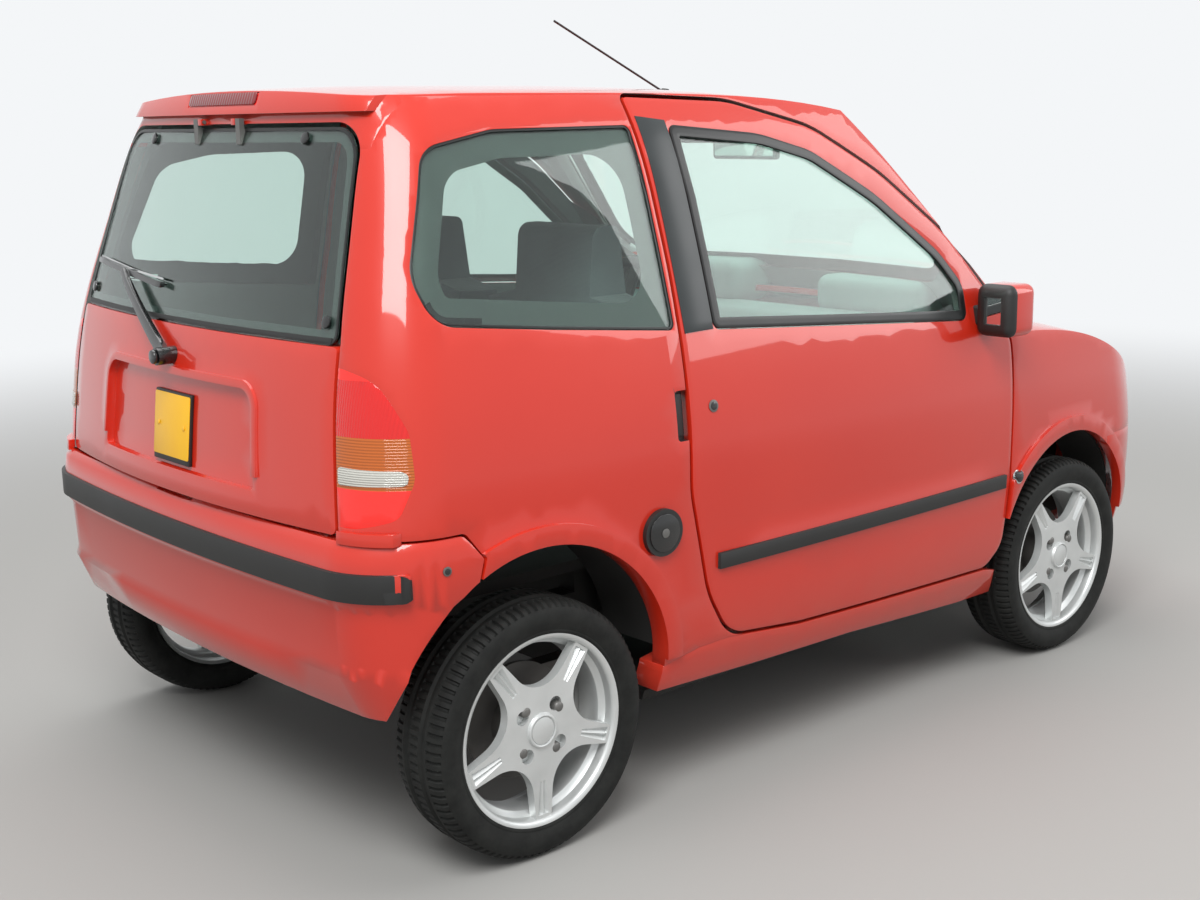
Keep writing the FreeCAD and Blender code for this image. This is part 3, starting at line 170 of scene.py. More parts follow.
# Tyre rubber: dark, matt and faintly brown with dust in its pores.
def tyreRubber(name):
    material, tree, shader = newMaterial(name, {"Roughness": 0.72, "Specular IOR Level": 0.3})
    point = addNode(tree, "ShaderNodeTexCoord").outputs["Object"]
    dust = addNode(tree, "ShaderNodeTexNoise", {"Vector": point, "Scale": 22.0, "Detail": 7.0,
                                                "Roughness": 0.7})
    addNode(tree, "ShaderNodeValToRGB", {"Fac": dust.outputs["Fac"]}, to=shader.inputs["Base Color"],
            stops=[(0.35, hexColor("0d0e0d")), (0.75, hexColor("232422"))])
    pores = addNode(tree, "ShaderNodeTexNoise", {"Vector": point, "Scale": 700.0, "Detail": 2.0})
    addNode(tree, "ShaderNodeBump", {"Height": pores.outputs["Fac"], "Strength": 0.15,
                                     "Distance": 0.0005}, to=shader.inputs["Normal"])
    return material

# Lacquered cast aluminium: silver, slightly granular, grey with brake dust in patches. In darker
# shades it is also bare steel and cast iron.
def castAluminium(name, shade, roughness):
    material, tree, shader = newMaterial(name, {"Metallic": 0.5})
    point = addNode(tree, "ShaderNodeTexCoord").outputs["Object"]
    soil = addNode(tree, "ShaderNodeTexNoise", {"Vector": point, "Scale": 16.0, "Detail": 6.0})
    mottled(tree, shader, soil.outputs["Fac"], shade, (roughness - 0.08, roughness + 0.14))
    grain = addNode(tree, "ShaderNodeTexNoise", {"Vector": point, "Scale": 900.0, "Detail": 2.0})
    addNode(tree, "ShaderNodeBump", {"Height": grain.outputs["Fac"], "Strength": 0.06,
                                     "Distance": 0.0004}, to=shader.inputs["Normal"])
    return material

# Rubber, printed enamel or lacquered plastic: one dark tone with a soft shine and faint smears.
def smoothTrim(name, shade, roughness, coat=0.0):
    material, tree, shader = newMaterial(name, {"Coat Weight": coat, "Coat Roughness": 0.05})
    point = addNode(tree, "ShaderNodeTexCoord").outputs["Object"]
    smear = addNode(tree, "ShaderNodeTexNoise", {"Vector": point, "Scale": 18.0, "Detail": 5.0})
    mottled(tree, shader, smear.outputs["Fac"], shade, (roughness * 0.8, roughness * 1.25))
    return material

# Moulded acrylic lamp lens: the colour of the plastic with a gloss, and flutes every few millimetres.
def lampLens(name, tint, fluteAxis=None, fluteWidth=3.0, depth=0.5, clearness=0.0):
    material, tree, shader = newMaterial(name, {"Base Color": hexColor(tint), "Roughness": 0.06,
                                                "IOR": 1.49, "Transmission Weight": clearness,
                                                "Coat Weight": 0.7, "Coat Roughness": 0.02,
                                                "Specular IOR Level": 0.3})
    if fluteAxis:
        point = addNode(tree, "ShaderNodeTexCoord").outputs["Object"]
        wave = addNode(tree, "ShaderNodeTexWave", {"Vector": point, "Scale": 314 / fluteWidth},
                       bands_direction=fluteAxis)
        addNode(tree, "ShaderNodeBump", {"Height": wave.outputs["Fac"], "Strength": depth,
                                         "Distance": 0.0012}, to=shader.inputs["Normal"])
    clearToLamps(tree, shader, tint)
    return material

# Bright metal: turned, plated or metallised, so nearly a mirror with a fine brushed lay.
def brightMetal(name, shade, roughness, lay=400.0):
    material, tree, shader = newMaterial(name, {"Base Color": hexColor(shade), "Metallic": 1.0})
    point = addNode(tree, "ShaderNodeTexCoord").outputs["Object"]
    scratch = addNode(tree, "ShaderNodeTexNoise", {"Vector": point, "Scale": lay, "Detail": 3.0})
    addNode(tree, "ShaderNodeMapRange", {"Value": scratch.outputs["Fac"], "To Min": roughness * 0.7,
                                         "To Max": roughness * 1.3}, to=shader.inputs["Roughness"])
    return material

# Woven cloth: crossed threads a couple of millimetres apart, with painted highlights where they rise and
# painted shade in the dips between them.
def wovenCloth(name, shade, thread=2.4, depth=0.6):
    material, tree, shader = newMaterial(name, {"Roughness": 0.92, "Sheen Weight": 0.25})
    point = addNode(tree, "ShaderNodeTexCoord").outputs["Object"]
    waves = [addNode(tree, "ShaderNodeTexWave", {"Vector": point, "Scale": 314 / thread,
                                                 "Distortion": 0.6}, bands_direction=axis)
             for axis in ("Y", "Z")]
    weave = addNode(tree, "ShaderNodeMath", {0: waves[0].outputs["Fac"], 1: waves[1].outputs["Fac"]},
                    operation="MULTIPLY")
    patchy = addNode(tree, "ShaderNodeTexNoise", {"Vector": point, "Scale": 12.0, "Detail": 5.0})
    # the colour follows the weave's height and patchy tone: painted shade between the threads, painted
    # highlight on their rises
    weaveShadeAndPatches = addNode(tree, "ShaderNodeMath", {0: weave.outputs[0], 1: patchy.outputs["Fac"]},
                    operation="ADD")
    addNode(tree, "ShaderNodeValToRGB", {"Fac": weaveShadeAndPatches.outputs[0]}, to=shader.inputs["Base Color"],
            stops=[(0.25, hexColor(shade[0])), (0.95, hexColor(shade[1]))])
    addNode(tree, "ShaderNodeBump", {"Height": weave.outputs[0], "Strength": depth, "Distance": 0.0008},
            to=shader.inputs["Normal"])
    return material

# Reflective sheet of a number plate: warm yellow over a fine honeycomb of cells.
def reflectiveSheet(name, shade):
    material, tree, shader = newMaterial(name, {"Roughness": 0.35})
    point = addNode(tree, "ShaderNodeTexCoord").outputs["Object"]
    cells = addNode(tree, "ShaderNodeTexVoronoi", {"Vector": point, "Scale": 320.0})
    dust = addNode(tree, "ShaderNodeTexNoise", {"Vector": point, "Scale": 30.0, "Detail": 5.0})
    mottled(tree, shader, dust.outputs["Fac"], shade)
    addNode(tree, "ShaderNodeBump", {"Height": cells.outputs["Distance"], "Strength": 0.05,
                                     "Distance": 0.0004}, to=shader.inputs["Normal"])
    return material

paint = sprayedEnamel("sprayedEnamelCoralRed", ("c52512", "cc2e1a"))
blackTrim = grainedPlastic("mouldedPolypropyleneBlack", ("151515", "232322"), 0.5)
underside = grainedPlastic("bitumenCoatedSteel", ("191918", "262523"), 0.78, 3.0, 0.4)
glass = windowGlass("tintedFloatGlass", "dfeee8")
rubber = tyreRubber("tyreRubber")
alloy = castAluminium("castAluminiumSilver", ("c2c5c4", "dcdedd"), 0.36)
steel = castAluminium("machinedSteel", ("5d5c5a", "7c7b78"), 0.42)
castIron = castAluminium("castIronGrey", ("4a4846", "6b6865"), 0.5)
seatCloth = wovenCloth("wovenSeatClothGrey", ("3c3f42", "5d6165"))
dashPlastic = grainedPlastic("mouldedDashGreyGreen", ("7f9692", "8fa5a0"), 0.6)
cabinPlastic = grainedPlastic("mouldedCabinGrey", ("5d6362", "6d7371"), 0.62)
headlining = grainedPlastic("needleFeltHeadliningGrey", ("8b8f8e", "9a9e9c"), 0.9, 2.4, 0.4)
sealRubber = smoothTrim("extrudedRubberSealBlack", ("101111", "191a1a"), 0.3)
fritEnamel = smoothTrim("screenPrintedEnamelGrey", ("2c3231", "353c3a"), 0.4)
blackFilm = smoothTrim("satinDoorFilmBlack", ("242829", "2e3334"), 0.33)
glossBlack = smoothTrim("lacqueredPlasticBlack", ("121313", "181919"), 0.2, 0.5)
redLens = lampLens("acrylicLensRed", "f4281f")
flutedRed = lampLens("acrylicLensRedFluted", "d5140f", "Y", 5.0, 0.6)
darkRed = lampLens("acrylicLensDarkRed", "7c1216", "Y", 9.0, 0.5)
amberLens = lampLens("acrylicLensAmber", "b85a10", "Z", 5.0, 0.6)
clearLens = lampLens("acrylicLensClear", "c9c8c0", "Z", 4.0, 0.8, 0.15)
reflector = brightMetal("metallisedLampHousing", "e3e3e0", 0.28)
bright = brightMetal("polishedStainless", "d0d1d0", 0.16)
mirrorSilver = brightMetal("silveredMirrorGlass", "e9eceb", 0.02, 60.0)
plateYellow = reflectiveSheet("reflectiveSheetYellow", ("f2b40c", "f7bf16"))
print("materials are made")

# Small tools for modelling

def deselectAll():
    if bpy.context.mode != "OBJECT":
        bpy.ops.object.mode_set(mode="OBJECT")
    bpy.ops.object.select_all(action="DESELECT")

def makeActive(piece):
    deselectAll()
    piece.select_set(True)
    bpy.context.view_layer.objects.active = piece

def editMode(piece=None):
    if piece:
        makeActive(piece)
    bpy.ops.object.mode_set(mode="EDIT")

def objectMode():
    bpy.ops.object.mode_set(mode="OBJECT")

def selectFaces(piece, test):        # in edit mode: selects the faces whose middle and normal pass
    mesh = bmesh.from_edit_mesh(piece.data)
    bpy.ops.mesh.select_mode(type="FACE")
    for face in mesh.faces:
        face.select_set(bool(test(face.calc_center_median(), face.normal)))
    bmesh.update_edit_mesh(piece.data)

def finishFaces(piece, slot, test):  # the faces that pass take the material in that slot
    for face in piece.data.polygons:
        if test(face.center, face.normal):
            face.material_index = slot

def between(value, span):
    return span[0] < value < span[1]

def applyModifier(piece, kind, **settings):
    makeActive(piece)
    modifier = piece.modifiers.new(kind.title(), kind)
    for key, value in settings.items():
        setattr(modifier, key, value)
    bpy.ops.object.modifier_apply(modifier=modifier.name)

def applyPlace(piece):
    makeActive(piece)
    bpy.ops.object.transform_apply(location=True, rotation=True, scale=True)

def setMaterial(piece, *materials):
    piece.data.materials.clear()
    for material in materials:
        piece.data.materials.append(material)

def softEdges(piece, width, angle=38, segments=2):
    applyModifier(piece, "BEVEL", width=width, segments=segments, limit_method="ANGLE",
                  angle_limit=math.radians(angle), use_clamp_overlap=True)

def smoothed(piece, angle=32):
    makeActive(piece)
    bpy.ops.object.shade_smooth_by_angle(angle=math.radians(angle))

def rideWith(piece, node):
    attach(piece, bodyOf[node])

def standsFor(piece, node):
    rideWith(piece, node)
    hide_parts(node)

def cutLevels(piece, heights):       # level cuts right through, in metres
    editMode(piece)
    for height in heights:
        bpy.ops.mesh.select_all(action="SELECT")
        bpy.ops.mesh.bisect(plane_co=(0, 0, height), plane_no=(0, 0, 1))
    objectMode()

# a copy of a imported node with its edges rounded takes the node's place; it may be shaped first
def dressNode(node, materials, width, angle=38, segments=2, smoothAngle=32, name=None, shape=None):
    piece = bpy.data.objects.new(name or node + "_dressed", nodes[node].data.copy())
    bpy.context.collection.objects.link(piece)
    editMode(piece)
    bpy.ops.mesh.select_all(action="SELECT")
    bpy.ops.mesh.remove_doubles(threshold=0.00002)
    objectMode()
    if shape:
        shape(piece)
    softEdges(piece, width, angle, segments)
    smoothed(piece, smoothAngle)
    setMaterial(piece, *materials)
    standsFor(piece, node)
    return piece

def outwards(piece):                 # closed pieces: all faces point out
    editMode(piece)
    bpy.ops.mesh.select_all(action="SELECT")
    bpy.ops.mesh.remove_doubles(threshold=0.00001)
    bpy.ops.mesh.normals_make_consistent(inside=False)
    objectMode()

def joinedPieces(name, pieces):
    deselectAll()
    for piece in pieces:
        piece.select_set(True)
    bpy.context.view_layer.objects.active = pieces[0]
    bpy.ops.object.join()
    pieces[0].name = name
    return pieces[0]

def roundedBox(name, low, high, soft, material, segments=4):      # corners in millimetres
    deselectAll()
    middle = [(a + b) / 2 * mm for a, b in zip(low, high)]
    bpy.ops.mesh.primitive_cube_add(size=1, location=middle)
    piece = bpy.context.object
    piece.name = name
    piece.scale = [(b - a) * mm for a, b in zip(low, high)]
    applyPlace(piece)
    softEdges(piece, soft * mm, 30, segments)
    smoothed(piece, 40)
    setMaterial(piece, material)
    return piece

def drawLine(name, points):          # points are (x, y, z) in millimetres
    deselectAll()
    bpy.ops.mesh.primitive_plane_add(size=0.002, location=(0, 0, 0))
    piece = bpy.context.object
    piece.name = name
    editMode()
    bpy.ops.mesh.select_mode(type="VERT")
    bpy.ops.mesh.select_all(action="SELECT")
    bpy.ops.mesh.merge(type="CENTER")
    spot = Vector((0, 0, 0))
    for i, point in enumerate(points):
        target = Vector(point) * mm
        if i:
            bpy.ops.mesh.extrude_region_move(TRANSFORM_OT_translate={"value": target - spot})
        else:
            bpy.ops.transform.translate(value=target)
        spot = target
    bpy.ops.mesh.select_all(action="SELECT")
    return piece                     # still in edit mode

# Outlines are drawn flat, as (along, up, corner radius) in millimetres, and laid on a side of the car

viewTurn = {
    "left": Matrix(((1, 0, 0), (0, 0, 1), (0, 1, 0))).to_4x4(),
    "right": Matrix(((1, 0, 0), (0, 0, -1), (0, 1, 0))).to_4x4(),
    "rear": Matrix(((0, 0, -1), (1, 0, 0), (0, 1, 0))).to_4x4(),
    "front": Matrix(((0, 0, 1), (1, 0, 0), (0, 1, 0))).to_4x4(),
}
viewAxis = {"left": ("y", "negative"), "right": ("y", "positive"), "rear": ("x", "positive"),
            "front": ("x", "negative")}
viewNormal = {"left": Vector((0, 1, 0)), "right": Vector((0, -1, 0)), "rear": Vector((-1, 0, 0)),
              "front": Vector((1, 0, 0))}
viewFrom = 1.9                       # metres from the middle of the car, outside all of it

def drawOutline(name, corners, segments=8, share=0.46):
    piece = drawLine(name, [(corner[0], corner[1], 0) for corner in corners])
    bpy.ops.mesh.edge_face_add()
    bpy.ops.mesh.normals_make_consistent(inside=False)
    for corner in corners:
        if len(corner) > 2 and corner[2] > 0:
            roundCorner(piece, corner, segments, share)
    bpy.ops.mesh.select_mode(type="FACE")
    bpy.ops.mesh.select_all(action="SELECT")
    return piece                     # still in edit mode

def roundCorner(piece, corner, segments, share):
    bpy.ops.mesh.select_mode(type="VERT")
    bpy.ops.mesh.select_all(action="DESELECT")
    mesh = bmesh.from_edit_mesh(piece.data)
    target = Vector((corner[0], corner[1], 0)) * mm
    chosen = min(mesh.verts, key=lambda vert: (vert.co - target).length)
    arms = [edge.other_vert(chosen).co - chosen.co for edge in chosen.link_edges]
    half = arms[0].angle(arms[1]) / 2
    back = min(corner[2] * mm / math.tan(half), share * min(arm.length for arm in arms))
    chosen.select_set(True)
    bmesh.update_edit_mesh(piece.data)
    if back > 0.0004:
        bpy.ops.mesh.bevel(offset=back, offset_type="OFFSET", segments=segments, affect="VERTICES")

def cutGrid(along, up):              # parallel cuts, so that a flat face can follow a curved body
    for normal, (low, high, step) in (((1, 0, 0), along), ((0, 1, 0), up)):
        place = low
        while place < high:
            bpy.ops.mesh.select_all(action="SELECT")
            bpy.ops.mesh.bisect(plane_co=Vector(normal) * place * mm, plane_no=normal)
            place += step

def layOn(piece, view, target, lift):
    piece.matrix_world = Matrix.Translation(viewNormal[view] * viewFrom) @ viewTurn[view]
    applyPlace(piece)
    axis, way = viewAxis[view]
    applyModifier(piece, "SHRINKWRAP", target=nodes[target], wrap_method="PROJECT",
                  use_project_x=axis == "x", use_project_y=axis == "y", use_project_z=False,
                  use_negative_direction=way == "negative", use_positive_direction=way == "positive")
    editMode(piece)
    bpy.ops.mesh.select_mode(type="VERT")
    mesh = bmesh.from_edit_mesh(piece.data)
    for vert in mesh.verts:          # what the ray missed is past the target's edge
        vert.select_set(vert.co.dot(viewNormal[view]) > viewFrom - 0.1)
    missed = sum(vert.select for vert in mesh.verts)
    bmesh.update_edit_mesh(piece.data)
    if missed:
        print(piece.name, "leaves out", missed, "points past the edge")
        bpy.ops.mesh.delete(type="VERT")
    bpy.ops.mesh.select_all(action="SELECT")
    bpy.ops.mesh.normals_make_consistent(inside=False)
    objectMode()
    total = sum((face.normal * face.area for face in piece.data.polygons), Vector())
    if total.dot(viewNormal[view]) < 0:
        editMode(piece)
        bpy.ops.mesh.select_all(action="SELECT")
        bpy.ops.mesh.flip_normals()
        objectMode()
    if lift:
        applyModifier(piece, "DISPLACE", strength=lift * mm, mid_level=0.0)

# lays a flat piece on a node, gives it its thickness and lets it ride with that node
def sheetOn(piece, view, target, lift, thickness, material, soft):
    layOn(piece, view, target, lift)
    applyModifier(piece, "SOLIDIFY", thickness=abs(thickness) * mm, offset=1 if thickness > 0 else -1)
    if soft:
        softEdges(piece, soft * mm, 50)
    smoothed(piece, 40)
    setMaterial(piece, material)
    rideWith(piece, target)

def patchOn(name, view, corners, target, lift, thickness, material, grid=None, soft=0.8):
    piece = drawOutline(name, corners)
    if grid:
        cutGrid(*grid)
    objectMode()
    sheetOn(piece, view, target, lift, thickness, material, soft)

def discOn(name, view, spot, radius, target, lift, thickness, material, soft=0.8):
    deselectAll()
    bpy.ops.mesh.primitive_circle_add(vertices=36, radius=radius * mm, fill_type="NGON",
                                      location=(spot[0] * mm, spot[1] * mm, 0))
    piece = bpy.context.object
    piece.name = name
    applyPlace(piece)
    sheetOn(piece, view, target, lift, thickness, material, soft)

def insideOf(corners, width, radii):  # the outline moved inwards by a width, with radii of its own
    spots = [Vector(corner[:2]) for corner in corners]
    turning = sum(spots[i - 1].x * spots[i].y - spots[i].x * spots[i - 1].y for i in range(len(spots)))
    inner = []
    for i, spot in enumerate(spots):
        before = (spot - spots[i - 1]).normalized()
        after = (spots[(i + 1) % len(spots)] - spot).normalized()
        aside = [Vector((-arm.y, arm.x)) * (1 if turning > 0 else -1) for arm in (before, after)]
        middle = (aside[0] + aside[1]).normalized()
        inner.append((*(spot + middle * width / middle.dot(aside[0])), radii[i]))
    return inner

# a band of one width along an outline, which starts a little inside it (shy)
def ribbonOn(name, view, corners, width, target, lift, thickness, material, soft=0.8, shy=1.5,
             radii=None):
    rings = []
    for label, inwards in (("outer", shy), ("inner", shy + width)):
        own = radii if radii and label == "inner" else [max(corner[2] - inwards, 3) for corner in corners]
        rings.append(drawOutline(f"{name}_{label}", insideOf(corners, inwards, own)))
        bpy.ops.mesh.delete(type="ONLY_FACE")
        objectMode()
    piece = joinedPieces(name, rings)
    editMode(piece)
    bpy.ops.mesh.select_mode(type="EDGE")
    bpy.ops.mesh.select_all(action="SELECT")
    bpy.ops.mesh.bridge_edge_loops()
    bpy.ops.mesh.select_all(action="SELECT")
    bpy.ops.mesh.subdivide(number_cuts=2)
    objectMode()
    sheetOn(piece, view, target, lift, thickness, material, soft)

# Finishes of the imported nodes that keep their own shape

nodeFinish = [
    (glass, ["windscreen", "quarter_glasses", "door_glass_left", "door_glass_right", "tailgate_glass"]),
    (underside, ["floor_pan", "wheel_liners", "cowl_panel"]),
    (castIron, ["engine_block"]),
    (steel, ["front_suspension", "rear_axle", "knuckle_left", "knuckle_right", "gate_hinges"]),
    (blackTrim, ["antenna", "fuel_cap"]),
]
for material, members in nodeFinish:
    for node in members:
        setMaterial(nodes[node], material)

# Body panels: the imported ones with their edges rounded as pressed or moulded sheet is

panelSlots = [paint, blackTrim, cabinPlastic, headlining]
inBlack, inCabinGrey, inHeadlining = 1, 2, 3
panelEdges = {
    "width": 0.0025,
    "nodes": ["side_panel_left", "side_panel_right", "roof_panel", "door_panel_left", "door_panel_right",
              "tailgate_panel", "bonnet", "wing_left", "wing_right", "bumper_front", "bumper_rear", "sills"],
}
panels = {node: dressNode(node, panelSlots, panelEdges["width"])
          for node in panelEdges["nodes"]}

# rubbing strips are black on the rear bumper and the doors
bumperStrip = {"heights": (0.5475, 0.6005), "behind": -1.262}
doorStrip = {"heights": (0.472, 0.508), "outside": 0.697, "from": -0.5405}
finishFaces(panels["bumper_rear"], inBlack,
            lambda spot, way: between(spot.z, bumperStrip["heights"]) and spot.x < bumperStrip["behind"])
for side, sign in sides.items():
    finishFaces(panels[f"door_panel_{side}"], inBlack,
                lambda spot, way: between(spot.z, doorStrip["heights"])
                and abs(spot.y) > doorStrip["outside"] and spot.x > doorStrip["from"])
    for node in (f"door_panel_{side}", f"side_panel_{side}"):
        finishFaces(panels[node], inCabinGrey, lambda spot, way: way.y * sign < -0.55)
finishFaces(panels["roof_panel"], inHeadlining,
            lambda spot, way: way.z < -0.5 or (way.x < -0.4 and spot.x > 0))
finishFaces(panels["tailgate_panel"], inCabinGrey, lambda spot, way: way.x > 0.6)

# what faces the cabin is lined in grey, the returns round the fixed windows are black, and the faces inside
# the handle's recess are black as painted shade
cabin = {"middle": Vector((-0.35, 0, 0.95)), "halfWidth": 0.67, "rear": -1.12}
windowReturn = {"x": (-1.19, -0.60), "z": (0.93, 1.35), "middleX": -0.86, "middleZ": 1.15}
handleRecess = {"x": (-0.6412, -0.5955), "z": (0.7408, 0.8392)}

def facesCabin(spot, way):
    return (way.dot((cabin["middle"] - spot).normalized()) > 0.35
            and abs(spot.y) < cabin["halfWidth"] and spot.x > cabin["rear"])

def inWindowReturn(spot, way):
    middle = Vector((windowReturn["middleX"], spot.y, windowReturn["middleZ"]))
    return (between(spot.x, windowReturn["x"]) and between(spot.z, windowReturn["z"])
            and abs(way.y) < 0.45 and abs(way.z) < 0.999 and way.dot(middle - spot) > 0)

# the faces inside the handle's recess are made black: painted shade in the recess
def inShadedHandleRecess(spot, way):
    return (between(spot.x, handleRecess["x"]) and between(spot.z, handleRecess["z"])
            and way.y * spot.y > -0.2)

finishFaces(panels["roof_panel"], inHeadlining, facesCabin)
for side in sides:
    finishFaces(panels[f"door_panel_{side}"], inCabinGrey, facesCabin)
    finishFaces(panels[f"side_panel_{side}"], inCabinGrey, facesCabin)
    finishFaces(panels[f"side_panel_{side}"], inBlack, inWindowReturn)
    finishFaces(panels[f"side_panel_{side}"], inBlack, inShadedHandleRecess)
print("body panels are dressed")

# Window seals, printed borders and the black panel between the door's glass and the fixed window

windows = {
    "door": [(-516, 1330, 18), (-275, 1308, 300), (-136, 1271, 150), (39, 1174, 400), (220, 1039, 200),
             (286, 962, 60), (281, 882, 22), (-516, 941, 18)],
    "quarter": [(-612, 1331, 14), (-930, 1329, 150), (-1085, 1300, 60), (-1161, 1085, 90),
                (-1138, 1004, 60), (-896, 977, 300), (-615, 949, 14)],
    "quarterInner": [70, 150, 60, 70, 60, 300, 60],
    "tailgate": [(438, 1338, 70), (-438, 1338, 70), (-503, 972, 20), (503, 972, 20)],
    "screen": [(600, 946, 100), (482, 1316, 100), (-482, 1316, 100), (-600, 946, 100)],
}
doorSeal = {"width": 21, "lift": 0.2, "thickness": 5.5, "material": sealRubber, "soft": 1.6}
printedBorder = {"lift": -5.4, "thickness": -0.4, "material": fritEnamel, "soft": 0}     # on the inner face
rubberEdging = {"lift": 0.1, "material": sealRubber, "soft": 0.8, "shy": 0.9}

for side in sides:
    ribbonOn(f"door_window_seal_{side}", side, windows["door"], target=f"door_glass_{side}", **doorSeal)
    ribbonOn(f"quarter_window_border_{side}", side, windows["quarter"], 48, "quarter_glasses",
             radii=windows["quarterInner"], **printedBorder)
    ribbonOn(f"quarter_window_edging_{side}", side, windows["quarter"], 5, "quarter_glasses",
             thickness=2.6, **rubberEdging)
ribbonOn("tailgate_glass_border", "rear", windows["tailgate"], 24, "tailgate_glass", **printedBorder)
ribbonOn("tailgate_glass_edging", "rear", windows["tailgate"], 6, "tailgate_glass", thickness=2.4,
         **rubberEdging)
ribbonOn("windscreen_border", "front", windows["screen"], 34, "windscreen", **printedBorder)
print("window seals are laid")

blackPanel = {
    "outline": [(-517, 943), (-517, 1338), (-588, 1347), (-592, 941)],
    "grid": ((-600, -520, 200), (960, 1340, 38)),
    "lift": 0.1,
    "thickness": 1.6,
}
for side in sides:
    patchOn(f"door_black_panel_{side}", side, blackPanel["outline"], f"door_panel_{side}",
            blackPanel["lift"], blackPanel["thickness"], blackFilm, blackPanel["grid"], 0.6)
print("black door panels are laid")

# Lamps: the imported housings, cut into their coloured bands

tailLamp = {
    "bandHeights": [0.920, 0.826, 0.739],      # between red, fluted red, amber and red again at the foot
    "clearLens": [(541, 744, 7), (538, 775, 7), (647, 772, 14), (647, 747, 14)],
    "clearGrid": (-50, 54, 6),                 # cuts about the lens's middle
    "clearMiddle": 594,
}
lampBodies = [                       # node, name, housing, lenses from the top, what is lens
    ("tail_lamps", "tail_lamp_lenses", glossBlack, [redLens, flutedRed, amberLens, redLens],
     lambda spot, way: way.x < -0.35 or (abs(way.y) > 0.55 and way.y * spot.y > 0)),
    ("head_lamps", "head_lamp_lenses", reflector, [clearLens], lambda spot, way: way.x > 0.2),
    ("brake_lamp", "brake_lamp_lens", reflector, [redLens], lambda spot, way: way.x < -0.2 or way.z > 0.5),
]
for node, name, housing, lenses, isLens in lampBodies:
    heights = tailLamp["bandHeights"][:len(lenses) - 1]
    lamp = dressNode(node, [housing, *lenses], 0.0035, 50, name=name,
                     shape=lambda piece: cutLevels(piece, heights))
    for face in lamp.data.polygons:
        if isLens(face.center, face.normal):
            face.material_index = 1 + sum(face.center.z < height for height in heights)
print("lamps have their lenses")

# Wheels: one tyre and one rim are modelled about the wheel's own axis and copied to the four hubs

wheel = {
    "middle": 0.6075,                # of the tyre, from the car's centre plane
    "axles": {"front": 0.715, "rear": -0.965},
    "axleHeight": 0.246,
    "treadSteps": 184,
    "treadFrom": 0.2445,             # radius past which a face belongs to the tread
}
# half of the tyre's section, from the bead to the middle of the tread: radius, distance from the middle
tyreSection = [(178.4, 54.5), (181, 60.5), (186, 65), (189, 66), (191, 65.6), (203, 70.6), (215, 72.4),
               (226, 71), (233.5, 67.5), (239.6, 61), (243.4, 51), (245.2, 36), (245.8, 31), (246, 13),
               (246, 0)]
# parts of the rim that are round the axis: radius, distance from the middle, outwards positive
rimSections = {
    "barrel": [(178, 58.6), (182, 60.2), (184, 62.4), (183.4, 64), (180.5, 63.8), (176.5, 62.2),
               (173.5, 59.5), (171.8, 54), (170.8, 40), (166.5, 35), (160.5, 31), (158.5, 26), (158, -22),
               (160, -27), (168, -34), (171, -52), (178, -58.6), (178, 58.6)],
    "cap": [(0.01, 62.4), (24, 62.2), (25.6, 61.6), (26.2, 60.2), (27, 60.2), (27.6, 62.6),
            (29.4, 63.4), (31.5, 62.6), (33, 60), (34, 56.5)],
    "hub": [(0.01, 40), (62, 40), (62, -14), (70, -16), (112, -16), (112, -25), (0.01, -25)],
    "bolt": [(0.01, 59.6), (5.6, 59.2), (8.8, 57.6), (10.4, 55), (11, 51), (11, 41)],
}

def spun(name, section, steps, material):
    piece = drawLine(name, [(0, across, radius) for radius, across in section])
    bpy.ops.mesh.spin(steps=steps, angle=math.tau, center=(0, 0, 0), axis=(0, 1, 0))
    objectMode()
    outwards(piece)
    smoothed(piece)
    setMaterial(piece, material)
    return piece

def onTread(spot):
    return math.hypot(spot.x, spot.z) > wheel["treadFrom"]

def onEvenStep(spot):
    return math.floor(math.atan2(spot.z, spot.x) * wheel["treadSteps"] / math.tau) % 2 == 0

def makeTyre():
    section = [(r, -a) for r, a in tyreSection] + [(r, a) for r, a in reversed(tyreSection[:-1])]
    tyre = spun("tyre_pattern", section, wheel["treadSteps"], rubber)
    editMode(tyre)                   # two long grooves round the tread, and cuts along its middle
    selectFaces(tyre, lambda spot, way: between(abs(spot.y), (0.014, 0.030)) and onTread(spot))
    bpy.ops.mesh.inset(thickness=0.0045, depth=-0.005)
    selectFaces(tyre, lambda spot, way: abs(spot.y) < 0.008 and onTread(spot) and onEvenStep(spot))
    bpy.ops.mesh.inset(thickness=0.0028, depth=-0.0035)
    for sign in (1, -1):             # cross cuts on both shoulders
        selectFaces(tyre, lambda spot, way: between(spot.y * sign, (0.0415, 0.0665)) and onEvenStep(spot)
                    and between(math.hypot(spot.x, spot.z), (0.234, 0.2449)))
        bpy.ops.mesh.inset(thickness=0.0026, depth=-0.0042)
    objectMode()
    smoothed(tyre, 30)
    return tyre

# the spider has five spokes; each opening is drawn by one corner with a wide rounding
spider = {
    "spokes": 5,
    "tipRadius": 172,
    "tipHalf": 18,
    "cornerRadius": 49.3,            # where the edges of two spokes would meet
    "rounding": 69,
    "face": 57,                      # outer face from the wheel's middle plane
    "thickness": 20,
    "grooves": {"from": 100, "to": 166, "apart": 5.2, "width": 8},
    "bolts": 4,
    "boltTurn": 0.12,
    "boltCircle": 55,
    "boltRadius": 14,
}

def polar(radius, angle, aside=0):
    along = Vector((math.sin(angle), -math.cos(angle)))
    return along * radius + Vector((along.y, -along.x)) * aside

def boltSpots():
    return [polar(spider["boltCircle"], math.tau * (k + 0.5) / spider["bolts"] + spider["boltTurn"]) * mm
            for k in range(spider["bolts"])]

